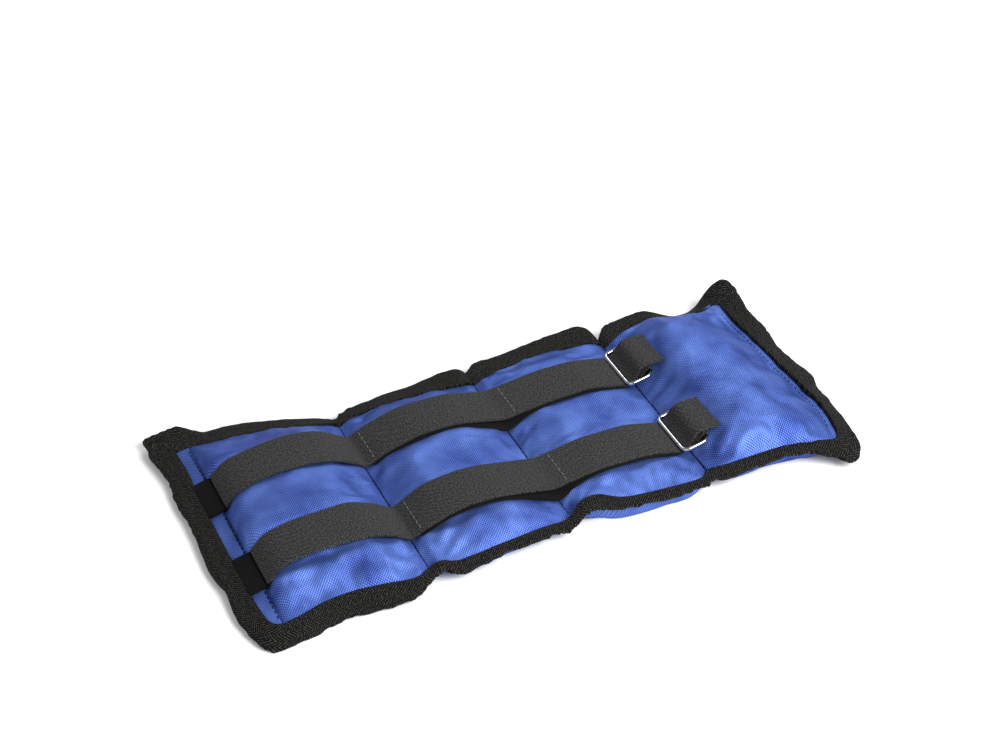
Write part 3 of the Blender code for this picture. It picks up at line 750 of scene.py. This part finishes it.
def gather(made, shape, pocket, settings):
    """Gathers beside the stitching, folds at the corners and broad dents, on a pocket's upper side.

    Each side of the rim has its own row of ridges. A ridge runs straight in from the stitching and dies away
    as the exponent of minus the distance over its own reach. Dents are noise without its sign.
    """
    rows, columns = shape
    points = points_of(made)
    top = points[:rows * columns].reshape(rows, columns, 3)
    i, j = np.arange(rows)[:, None] * settings.spacing, np.arange(columns)[None, :] * settings.spacing
    sides = [(i, columns, 0), (i[::-1], columns, 0), (j, rows, 1), (j[:, ::-1], rows, 1)]
    swell = np.zeros(shape)
    for number, (away, count, axis) in enumerate(sides):
        seed = 10 * pocket + number
        fine = 0.7 * smooth_noise(count, 2, seed) + smooth_noise(count, 3, seed + 500)
        reach = GATHER_REACH + GATHER_REACH * (1 + smooth_noise(count, 5, seed + 900))
        fine, reach = np.expand_dims(fine, axis), np.expand_dims(reach, axis)
        swell += fine * np.exp(-away / reach) * np.minimum(1.0, away / GATHER_START)
    edge = np.minimum(np.minimum(i, i[::-1]), np.minimum(j, j[:, ::-1]))
    dents = np.abs(field_noise(i, j, DENT_SIZE, 40 + pocket)) * np.minimum(1.0, edge / DENT_FADE)
    top[..., 2] += settings.pucker * swell + corner_folds(top, pocket, settings) - settings.crumple * dents
    made.data.vertices.foreach_set("co", points.ravel())


def corner_folds(top, pocket, settings):
    """Folds that fan out from a pocket's four corners.

    Each fold is a ridge along a ray from the corner: the exponent of minus the squared angle from the ray
    over its own width, times a hump along the ray that starts at the corner and dies away with distance.
    """
    rise = np.zeros(top.shape[:2])
    for number, (row, column) in enumerate(((0, 0), (0, -1), (-1, 0), (-1, -1))):
        dice = np.random.default_rng(700 + 10 * pocket + number)
        away = top[..., :2] - top[row, column, :2]
        span = np.linalg.norm(away, axis=-1)
        angle = np.arctan2(np.abs(away[..., 1]), np.abs(away[..., 0]))
        for heading in FOLD_HEADINGS:
            aim = heading + dice.uniform(-0.12, 0.12)
            reach = dice.uniform(0.010, 0.020)
            height = dice.uniform(0.5, 1.0)
            ridge = np.exp(-((angle - aim) / FOLD_WIDTH) ** 2)
            ridge = ridge - TROUGH_DEPTH * np.exp(-((angle - aim - TROUGH_ASIDE) / FOLD_WIDTH) ** 2)
            rise += settings.fold * height * ridge * (span / reach) * np.exp(1 - span / reach)
    return rise


def search_tree(name):
    """Search tree over an object as it stands."""
    return BVHTree.FromObject(bpy.data.objects[name], bpy.context.evaluated_depsgraph_get())


def heights(tree, x, y, up=False):
    """Height of the cloth at places, met from above or from below, or the floor where there is none."""
    start, way = (BELOW, Vector((0, 0, 1))) if up else (ABOVE, Vector((0, 0, -1)))
    found = [tree.ray_cast(Vector((px, py, start)), way)[0] for px, py in zip(x, y)]
    return np.array([hit.z if hit else 0.0 for hit in found])


def lanes(pocket, x, y, sides):
    """Heights of a pocket's cloth along X, one row for each of the given millimetres aside of y."""
    tree = search_tree(f"pocket_{pocket}_nylon")
    return np.array([heights(tree, x, np.full_like(x, y + side * MM)) for side in sides])


class CUFF_OT_pockets(bpy.types.Operator):
    """Filled nylon pockets, blown up by a cloth simulation between their held rims"""

    bl_idname = "cuff.pockets"
    bl_label = "Build pockets"

    def execute(self, context):
        settings = context.scene.cuff_pockets
        for pocket in range(1, 5):
            made, rim, shape = pillow(f"pocket_{pocket}_nylon", pocket, settings)
            inflate(made, rim, pocket, settings)
            gather(made, shape, pocket, settings)
            smooth = made.modifiers.new("smooth_cloth", "SUBSURF")
            smooth.levels = smooth.render_levels = 2
            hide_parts(f"front_cover_{pocket}", f"back_cover_{pocket}")
            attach(made, f"pocket_{pocket}")
            self.sand(pocket)
        return {"FINISHED"}

    def sand(self, pocket):
        """Sand fill: a CAD bag, shorter on the right beside a hem and pressed to 2 mm inside the cloth."""
        low, high = (np.array(corner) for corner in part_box(f"sand_bag_{pocket}"))
        high[0] -= 0.1 * hem_share(pocket)
        skin, shrink, least = 0.002, 0.94, 0.0003
        middle, half = (low + high) / 2, (high - low) / 2 * shrink
        spread = [np.cos(np.pi * np.arange(count) / (count - 1))[::-1] for count in (13, 17)]
        x, y = np.meshgrid(*(middle[i] + half[i] * spread[i] for i in (0, 1)), indexing="ij")
        tree = search_tree(f"pocket_{pocket}_nylon")
        over, under = (heights(tree, x.ravel(), y.ravel(), up).reshape(x.shape) for up in (False, True))
        over, under = over - skin, under + skin
        level = (over + under) / 2
        upper = np.stack([x, y, np.maximum(over, level + least)], -1)
        lower = np.stack([x, y, np.minimum(under, level - least)], -1)
        loops = np.concatenate([upper, lower[:, ::-1]], 1)
        made = capped_loft(f"sand_fill_{pocket}", loops, stuff("bagged_washed_sand"))
        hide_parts(f"sand_bag_{pocket}")
        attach(made, f"pocket_{pocket}")


class CUFF_OT_end_strip(bpy.types.Operator):
    """Flat nylon hem between the first seam and the left tape"""

    bl_idname = "cuff.end_strip"
    bl_label = "Build end strip"

    def execute(self, context):
        start = seams()[0] + SEAM_SHIFT
        inner, outward, _ = edge_curve()
        picked = (outward[:, 0] < -0.5) & (inner[:, 0] < start)
        low, high = inner[picked, 1].min(), inner[picked, 1].max()
        b = np.linspace(0.0, 1.0, 48)
        a = np.linspace(0.0, 1.0, 8)[None, :, None]
        under_tape = np.array([0.0015, 0.0, 0.0010])
        far = edge_line(picked, 1, low + (high - low) * b) - under_tape
        sheet = seam_line(start, b)[:, None, :] * (1 - a) + far[:, None, :] * a
        sheet[..., 2] += 0.0003 * np.sin(b * 26.0)[:, None] * np.sin(np.pi * a[..., 0])
        half = np.array([0, 0, STRIP_HALF])
        loops = np.concatenate([sheet + half, sheet[:, ::-1] - half], 1)
        made = capped_loft("end_strip_nylon", loops, stuff("calendered_nylon_oxford"), loops[..., :2])
        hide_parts("front_cover_1", "back_cover_1")
        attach(made, "pocket_1")
        return {"FINISHED"}


def tape_sections(half):
    """Section loops of the folded tape all along the edge, with cloth coordinates.

    Each loop is a flat superellipse from inside the inner edge to the tape's width outside it. Its inner
    rim is square and its outer rim round, and noise makes the width and the thickness uneven.
    """
    inner, outward, width = edge_curve()
    along = unit(np.gradient(inner + outward * width[:, None] * 0.5, axis=0))
    normal = unit(np.cross(along, outward))
    normal *= np.sign(normal[:, 2:3])
    count = len(inner)
    rolled = np.clip((TAPE_FLAT - width) / TAPE_ROLL, 0.0, 1.0)
    wobble = 0.0008 * smooth_noise(count, 9, 5) + (0.0004 + 0.0005 * rolled) * smooth_noise(count, 2, 8)
    turn = around(20)
    inside = np.cos(turn) < 0
    flat, thick = superellipse(turn, np.where(inside, 0.1, 0.35), np.where(inside, 0.12, 0.6))
    depth = ((width + wobble)[:, None] + TAPE_OVERLAP) / 2 * (1 + flat)[None, :] - TAPE_OVERLAP
    lift = half * thick[None, :] * (1 + 0.12 * smooth_noise(count, 6, 3))[:, None]
    loops = inner[:, None] + outward[:, None] * depth[..., None] + normal[:, None] * lift[..., None]
    loops[..., 2] = np.maximum(loops[..., 2], TAPE_LOWEST)
    return loops, swept_uv(run_length(inner), depth)


class CUFF_OT_tape(bpy.types.Operator):
    """Herringbone tape folded over the edge, in four lengths"""

    bl_idname = "cuff.tape"
    bl_label = "Build binding tape"

    def execute(self, context):
        inner, outward, _ = edge_curve()
        places = seams()
        second, third = (places[1] + places[2]) / 2, (places[2] + places[3]) / 2
        x, rear = inner[:, 0], outward[:, 1] > 0
        rear_from, rear_to, front_from, front_to = (int(np.argmax(test)) for test in (
            rear & (x <= third), rear & (x <= second), ~rear & (x >= second), ~rear & (x >= third)))
        right = np.concatenate([np.arange(front_to, len(x) - 1), np.arange(0, rear_from + 1)])
        lengths = {
            "tape_rear": (np.arange(rear_from, rear_to + 1), ("binding_rear_2", "binding_rear_3"), 2),
            "tape_left": (np.arange(rear_to, front_from + 1), ("binding_left_end",), 1),
            "tape_front": (np.arange(front_from, front_to + 1), ("binding_front_2", "binding_front_3"), 2),
            "tape_right": (right, ("binding_right_end",), 3),
        }
        sections, uv = tape_sections(context.scene.cuff_webbing.tape_half)
        for name, (pick, nodes, seam) in lengths.items():
            made = capped_loft(name, sections[pick], stuff("herringbone_binding_tape"), uv[pick])
            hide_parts(*nodes)
            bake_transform(made)
        return {"FINISHED"}


def upper_hull(x, z):
    """The taut line over points, at the same places."""
    hull = []
    for point in zip(x, z):
        while len(hull) > 1 and ((hull[-1][1] - hull[-2][1]) * (point[0] - hull[-2][0])
                                 <= (point[1] - hull[-2][1]) * (hull[-1][0] - hull[-2][0])):
            hull.pop()
        hull.append(point)
    hull = np.array(hull)
    return np.interp(x, hull[:, 0], hull[:, 1])


def softened(values, width):
    """A line smoothed by a bell of the given width in samples, with its ends kept."""
    reach = np.arange(-3 * width, 3 * width + 1)
    bell = np.exp(-0.5 * (reach / width) ** 2)
    padded = np.concatenate([2 * values[0] - values[3 * width:0:-1], values,
                             2 * values[-1] - values[-2:-3 * width - 2:-1]])
    return np.convolve(padded, bell / bell.sum(), "valid")


def strap_route(row):
    """Underside of a whole strap up to its ring: places along X, and heights on its rear and front edges.

    Over each pocket it is the taut line over the cloth between the points where it is held down: on the
    hook patch, at the seams and under the ring's left bar.
    """
    places = seams()
    begin = places[0] + SEAM_SHIFT + STRAP_START
    sewn, bridge = seam_level() + STRAP_AT_SEAM, seam_level() + STRAP_OVER_SEAM
    at_ring = hinge(f"{row}_tail_lift").z - STRAP_DROP
    # Pocket, both ends along X, the strap's heights there, and its stand-off from the cloth
    spans = [
        (1, begin, places[1], strip_top(begin) + 0.0016, sewn, 0.0009),
        (2, places[1], places[2], sewn, bridge, 0.0015),
        (3, places[2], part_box(f"{row}_strap_3")[1][0], bridge, at_ring, 0.0009),
    ]
    held_reach = 0.004
    route = []
    for pocket, start, end, z_start, z_end, gap in spans:
        x = np.linspace(start, end, 90)
        cloth = lanes(pocket, x, row_middle(row), (10.5, 5.0, 0.0, -5.0, -10.5)) + gap
        near = np.minimum(x - start, end - x) < held_reach
        line = [x]
        for z in (cloth[:3].max(0), cloth[2:].max(0)):
            z[near] = np.minimum(z[near], np.interp(x[near], [start, end], [z_start, z_end]))
            z[0], z[-1] = z_start, z_end
            line.append(upper_hull(x, z))
        route.append(np.array(line)[:, min(1, len(route)):])
    return np.hstack(route)


def strap_mesh(name, x, rear_z, front_z, row, thickness, run):
    """Webbing with rounded edges whose underside lies on two edge lines; run is its place along the strap."""
    slope = np.gradient((rear_z + front_z) / 2, x)
    bend = np.hypot(1.0, slope)
    flat, thick = superellipse(around(WEB_SIDES), WEB_FLAT, WEB_THICK)
    share = (1 + flat) / 2
    offset = thickness / 2 * (1 + thick)[None, :]
    px = x[:, None] - offset * (slope / bend)[:, None]
    pz = front_z[:, None] * (1 - share) + rear_z[:, None] * share + offset / bend[:, None]
    py = np.broadcast_to(row_middle(row) + half_width(f"{row}_strap_2") * flat, px.shape)
    made = capped_loft(name, np.stack([px, py, pz], -1), stuff("brushed_loop_webbing"), swept_uv(run, py))
    return made


def ribbon_loops(path, thickness, middle, half):
    """Section loops of a flat strip across Y along (x, z) points on its middle layer."""
    along = unit(np.gradient(path, axis=0))
    normal = np.stack([-along[:, 1], along[:, 0]], 1)
    flat, thick = superellipse(around(WEB_SIDES), WEB_FLAT, WEB_THICK)
    plan = path[:, None, :] + normal[:, None, :] * (thickness / 2 * thick[None, :, None])
    y = np.broadcast_to(middle + half * flat, plan.shape[:2])
    return np.stack([plan[..., 0], y, plan[..., 1]], -1), swept_uv(run_length(path), y)


class CUFF_OT_straps(bpy.types.Operator):
    """Two webbing straps, each in four lengths, with their tails and hook patches"""

    bl_idname = "cuff.straps"
    bl_label = "Build straps"

    def execute(self, context):
        settings = context.scene.cuff_webbing
        places = seams()
        second, third = (places[1] + places[2]) / 2, (places[2] + places[3]) / 2
        for row in ROWS:
            x, *edges = strap_route(row)
            even = np.linspace(x[0], x[-1], 420)
            rear_z, front_z = (softened(np.interp(even, x, z), 4) for z in edges)
            run = run_length(np.stack([even, rear_z], 1))
            cuts = [int(np.argmin(np.abs(even - place))) for place in (places[1], second, third)]
            stretches = [
                (f"{row}_webbing_end", 0, cuts[0], f"{row}_strap_end"),
                (f"{row}_webbing_1_2", cuts[0], cuts[1], f"{row}_strap_2"),
                (f"{row}_webbing_2_3", cuts[1], cuts[2], f"{row}_strap_3"),
                (f"{row}_webbing_3_4", cuts[2], len(even) - 1, f"{row}_strap_3"),
            ]
            made = []
            for name, first, last, node in stretches:
                pick = slice(first, last + 1)
                piece = strap_mesh(name, even[pick], rear_z[pick], front_z[pick], row,
                                   settings.strap_thickness, run[pick])
                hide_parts(node)
                made.append(piece)
            bends = [
                (f"{row}_strap_end", "pocket_1", places[1] - 0.016, places[1]),
                ("pocket_1", "pocket_2", places[1], places[1] + 0.010),
                ("pocket_2", "pocket_3", places[2] - BLEND_HALF, places[2] + BLEND_HALF),
                ("pocket_3", "pocket_4", places[3] - 0.026, even[-1]),
            ]
            for piece, (body, other, start, end) in zip(made, bends):
                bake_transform(piece)
            self.under(row)
            self.tail(row, settings, np.array([even[-1], (rear_z[-1] + front_z[-1]) / 2]))
            self.patch(row)
        return {"FINISHED"}

    def under(self, row):
        """Second layer of webbing on the cloth, which sinks into the third seam; it is near black, painted
        shade that shows as the dark band under the strap.
        """
        seam = seams()[2]
        y = row_middle(row) - 0.0014
        x = np.linspace(seams()[1] + 0.005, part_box(f"{row}_strap_3")[1][0] - 0.003, 170)
        cloth = [lanes(pocket, stretch, y, (-11.0, -6.0, 0.0, 6.0, 11.0)).max(0)
                 for pocket, stretch in ((2, x[x < seam]), (3, x[x >= seam]))]
        z = softened(np.concatenate(cloth), 5) + UNDER_THICK / 2 + 0.0003
        loops, uv = ribbon_loops(np.stack([x, z], 1), UNDER_THICK, y, half_width(f"{row}_strap_3"))
        # Beside the seam it is pulled forward, where its dark colour paints the shade of the hollow in front
        # of the strap
        pull, pull_reach = 0.0035, 0.009
        loops[..., 1] -= pull * np.exp(-((x - seam) / pull_reach) ** 2)[:, None]
        made = capped_loft(f"{row}_webbing_under_painted_shade", loops, stuff("black_webbing_painted_shade"), uv)
        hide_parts(f"{row}_strap_3")
        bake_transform(made)

    def tail(self, row, settings, end):
        """Tail from the strap's end over the ring's right bar to its cut end, above the swinging ring.

        Its edges rise with the square of the distance from its middle and with that along it.
        """
        bar = hinge(f"{row}_ring_swing")
        crest = bar.z + settings.wire
        start = end + np.array([0.0, settings.strap_thickness / 2])
        rise = np.array([bar.x - RING_SAG - 0.0020, crest - 0.0008])
        top = np.array([bar.x - 0.001, crest + 0.0004])
        tip = np.array([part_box(f"{row}_strap_tail")[1][0] + 0.0028, bar.z + 0.0012])
        bend = np.array([bar.x + 0.5 * (tip[0] - bar.x), (top[1] + tip[1]) / 2 - 0.0002])
        climb = (start + rise) / 2 - np.array([0.0, 0.0008])
        path = catmull([start, climb, rise, top, bend, tip], 12)
        half = half_width(f"{row}_strap_tail")
        loops, uv = ribbon_loops(path, settings.strap_thickness, row_middle(row), half)
        share = np.linspace(0.0, 1.0, len(path))[:, None] ** 2
        sideways = (loops[..., 1] - row_middle(row)) / half
        curl, twist = 0.0010, 0.0004
        loops[..., 2] += curl * share * sideways**2 - twist * share * sideways
        made = capped_loft(f"{row}_webbing_tail", loops, stuff("brushed_loop_webbing"), uv)
        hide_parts(f"{row}_strap_tail")
        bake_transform(made)

    def patch(self, row):
        """Hook patch on the end strip, a low pad with a rounded rim."""
        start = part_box(f"{row}_hook_patch")[0][0] + 0.0026
        x = np.linspace(start, seams()[0] + SEAM_SHIFT + 0.0020, 18)
        path = np.stack([x, strip_top(x) + 0.0009], 1)
        loops, uv = ribbon_loops(path, PATCH_THICK, row_middle(row), half_width(f"{row}_hook_patch"))
        made = capped_loft(f"{row}_hook_tape", loops, stuff("moulded_hook_tape"), uv)
        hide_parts(f"{row}_hook_patch")
        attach(made, "pocket_1")


def tube_loops(path, radius):
    """Section loops of a round wire along a flat path of points."""
    along = unit(np.gradient(path, axis=0))
    first, second = path[len(path) // 3] - path[0], path[2 * len(path) // 3] - path[0]
    side = unit(np.cross(along, np.cross(first, second)))
    other = np.cross(along, side)
    turn = around(14)[None, :, None]
    return path[:, None] + radius * (np.cos(turn) * side[:, None] + np.sin(turn) * other[:, None])


class CUFF_OT_rings(bpy.types.Operator):
    """Bent wire rings with their butt joint, and the webbing loops that hold them"""

    bl_idname = "cuff.rings"
    bl_label = "Build rings"

    def execute(self, context):
        settings = context.scene.cuff_webbing
        radius = settings.wire
        for row in ROWS:
            right = hinge(f"{row}_ring_swing") - Vector((0.0, 0.0, RING_SAG))
            strap = hinge(f"{row}_tail_lift").z - STRAP_DROP + settings.strap_thickness
            left = Vector((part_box(f"{row}_ring")[0][0] + radius, right.y, strap + radius + GAP))
            span = right - left
            half = half_width(f"{row}_ring") - radius
            joint = half - 2.0 * RING_CORNER
            flat = [(0.0, GAP - joint)]
            for i, (far, side) in enumerate(((0, 1), (1, 1), (1, -1), (0, -1))):
                u, v = RING_CORNER + far * (span.length - 2 * RING_CORNER), side * (half - RING_CORNER)
                turn = np.pi - np.pi / 2 * (i + np.linspace(0.0, 1.0, 13))
                flat += list(zip(u + RING_CORNER * np.cos(turn), v + RING_CORNER * np.sin(turn)))
            flat = np.array(flat + [(0.0, -GAP - joint)])
            across = np.array(span.normalized())
            path = np.array(left) + flat[:, :1] * across + flat[:, 1:] * np.array((0.0, 1.0, 0.0))
            made = capped_loft(f"{row}_wire_ring", tube_loops(path, radius), stuff("chromed_bent_wire"))
            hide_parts(f"{row}_ring")
            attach(made, f"{row}_ring")
            self.keeper(row, right, radius)
        return {"FINISHED"}

    def keeper(self, row, bar, radius):
        """Folded webbing: up along the cloth from the seam, round the bar and back down."""
        x = np.linspace(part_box(f"{row}_ring_keeper")[0][0] + 0.0012, bar.x - GAP, 9)
        tops = lanes(4, x, bar.y, (-8.0, 0.0, 8.0)).max(0) + KEEPER_THICK / 2 + GAP
        reach = radius + GAP + KEEPER_THICK / 2
        leg = np.stack([x, np.minimum(tops, bar.z - reach)], 1)
        turn = np.linspace(-np.pi / 2, np.radians(125), 16)
        arc = np.stack([bar.x + reach * np.cos(turn), bar.z + reach * np.sin(turn)], 1)
        back = np.array([[leg[0, 0] - 0.0006, leg[0, 1] + KEEPER_THICK + 0.0004]])
        path = catmull(np.vstack([leg[:-1:2], arc[::3], back]), 6)
        loops, uv = ribbon_loops(path, KEEPER_THICK, row_middle(row), half_width(f"{row}_ring_keeper"))
        made = capped_loft(f"{row}_ring_loop", loops, stuff("brushed_loop_webbing"), uv)
        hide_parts(f"{row}_ring_keeper")
        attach(made, "pocket_4")


def stitch_row(name, points, settings, material, bold=1.0):
    """A row of short threads along points: each is a capsule that dips at both ends into the cloth."""
    radius = settings.thread * bold
    run = run_length(points)
    count = max(2, int(run[-1] / settings.stitch))
    sides, rings = 6, 7
    t = np.linspace(0.0, 1.0, rings)
    places = (np.arange(count)[:, None] + 0.08 + 0.84 * t[None, :]) / count * run[-1]
    centre = np.stack([np.interp(places, run, points[:, i]) for i in range(3)], -1)
    up = np.array((0.0, 0.0, 1.0))
    side = unit(np.cross(unit(np.gradient(centre, axis=1)), up))
    centre = centre + up * radius * (1.5 * np.sin(np.pi * t)[None, :, None] - 0.8)
    thick = radius * np.sqrt(np.clip(1 - (2 * t - 1) ** 8, 0.12, 1.0))[None, :, None, None]
    turn = around(sides)[:, None]
    loops = centre[:, :, None, :] + thick * (np.cos(turn) * side[:, :, None, :] + np.sin(turn) * up)
    block = rings * sides
    tube = grid_faces(rings, sides, closed=True)[:, ::-1]
    caps = np.array([range(sides), range(block - 1, block - sides - 1, -1)])
    faces = [face for i in range(count) for part in (tube, caps) for face in (part + i * block).tolist()]
    return mesh_object(name, loops.reshape(-1, 3), faces, stuff(material))


class CUFF_OT_stitches(bpy.types.Operator):
    """Seam stitches across the cuff, a hem line, and the stitch lines that hold the straps down"""

    bl_idname = "cuff.stitches"
    bl_label = "Build stitches"

    def execute(self, context):
        settings = context.scene.cuff_webbing
        places = seams()
        for i, place in enumerate(places):
            # The first seam's stitches lie on the end strip, and are bolder
            line = seam_line(place if i else place + SEAM_SHIFT - 0.0006, np.linspace(0.03, 0.97, 60))
            line[:, 2] += 0.0001 if i else 0.0008
            bold = 1.0 if i else 1.4
            made = stitch_row(f"seam_stitches_{i}", line, settings, "black_polyester_thread", bold)
            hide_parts(f"seam_thread_{i}")
            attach(made, f"pocket_{max(1, i)}")
        for row in ROWS:
            self.strap_line(row, 2, places[1] + 0.0055, settings)
            self.strap_line(row, 3, places[2] + 0.0070, settings)
        self.hem_line(settings)
        return {"FINISHED"}

    def hem_line(self, settings):
        """A row of stitches in the last pocket's hem, beside the right tape."""
        y = np.linspace(-0.058, 0.054, 60)
        x = right_edge(y)[:, 0] - HEM_INSET
        line = np.stack([x, y, heights(search_tree("pocket_4_nylon"), x, y)], 1)
        made = stitch_row("hem_stitches", line, settings, "black_polyester_thread")
        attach(made, "pocket_4")

    def strap_line(self, row, pocket, place, settings):
        """A line of stitches straight across a strap beside a seam: grey thread, coloured lighter than it is
        to paint its sheen.
        """
        half = 0.0115
        y = row_middle(row) + np.linspace(-half, half, 24)
        x = np.full_like(y, place)
        line = np.stack([x, y, heights(search_tree(f"{row}_webbing_{pocket - 1}_{pocket}"), x, y)], 1)
        made = stitch_row(f"{row}_strap_stitches_{pocket}", line, settings, "grey_thread_painted_sheen")
        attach(made, f"pocket_{pocket}")


class CUFF_OT_stage(bpy.types.Operator):
    """Pale floor, soft studio light and the camera at the photograph's angle"""

    bl_idname = "cuff.stage"
    bl_label = "Build stage"

    def execute(self, context):
        scene = context.scene
        settings = scene.cuff_stage
        floor = mesh_object("floor", [(-4, -4, 0), (4, -4, 0), (4, 4, 0), (-4, 4, 0)], [(0, 1, 2, 3)],
                            stuff("matt_studio_board"))
        scene.world = bpy.data.worlds.new("studio")
        scene.world.use_nodes = True
        background = scene.world.node_tree.nodes["Background"]
        background.inputs["Color"].default_value = (1.0, 1.0, 1.0, 1.0)
        background.inputs["Strength"].default_value = WORLD_STRENGTH
        for name, place, size, power in LIGHTS:
            data = bpy.data.lights.new(name, "AREA")
            data.size, data.energy = size, power
            lamp = bpy.data.objects.new(name, data)
            scene.collection.objects.link(lamp)
            lamp.location = place
            lamp.rotation_euler = Vector(place).to_track_quat("Z", "Y").to_euler()
        camera = bpy.data.objects.new("camera", bpy.data.cameras.new("camera"))
        scene.collection.objects.link(camera)
        camera.data.lens = settings.lens
        camera.data.sensor_width = 36.0
        camera.data.sensor_fit = "HORIZONTAL"
        camera.data.clip_start = 0.01
        a, e = settings.azimuth, settings.elevation
        back = Vector((math.sin(a) * math.cos(e), -math.cos(a) * math.cos(e), math.sin(e)))
        camera.location = Vector(settings.aim) + back * settings.distance
        camera.rotation_euler = back.to_track_quat("Z", "Y").to_euler()
        scene.camera = camera
        scene.view_settings.view_transform = "Standard"
        return {"FINISHED"}


class CUFF_PT_panel(bpy.types.Panel):
    """Sidebar panel with the settings and one button for each group of pieces"""

    bl_idname = "CUFF_PT_panel"
    bl_label = "Ankle cuff weight"
    bl_space_type = "VIEW_3D"
    bl_region_type = "UI"
    bl_category = "Cuff"

    def draw(self, context):
        for group in GROUPS:
            settings = getattr(context.scene, group)
            for key in settings.__annotations__:
                self.layout.prop(settings, key)
        for operator in OPERATORS:
            self.layout.operator(operator.bl_idname)


GROUPS = {"cuff_pockets": CuffPockets, "cuff_webbing": CuffWebbing, "cuff_stage": CuffStage}
OPERATORS = (CUFF_OT_pockets, CUFF_OT_end_strip, CUFF_OT_tape, CUFF_OT_straps, CUFF_OT_rings,
             CUFF_OT_stitches, CUFF_OT_stage)


def register():
    """Registers the settings, operators and panel."""
    for name, group in GROUPS.items():
        bpy.utils.register_class(group)
        setattr(bpy.types.Scene, name, bpy.props.PointerProperty(type=group))
    for operator in OPERATORS:
        bpy.utils.register_class(operator)
    bpy.utils.register_class(CUFF_PT_panel)


def unregister():
    """Undoes register."""
    bpy.utils.unregister_class(CUFF_PT_panel)
    for operator in reversed(OPERATORS):
        bpy.utils.unregister_class(operator)
    for name, group in GROUPS.items():
        delattr(bpy.types.Scene, name)
        bpy.utils.unregister_class(group)


def main():
    register()
    for operator in OPERATORS:
        group, name = operator.bl_idname.split(".")
        result = getattr(getattr(bpy.ops, group), name)()
        if result != {"FINISHED"}:
            raise RuntimeError(f"{operator.bl_label} did not finish")


if __name__ == "__main__":
    main()
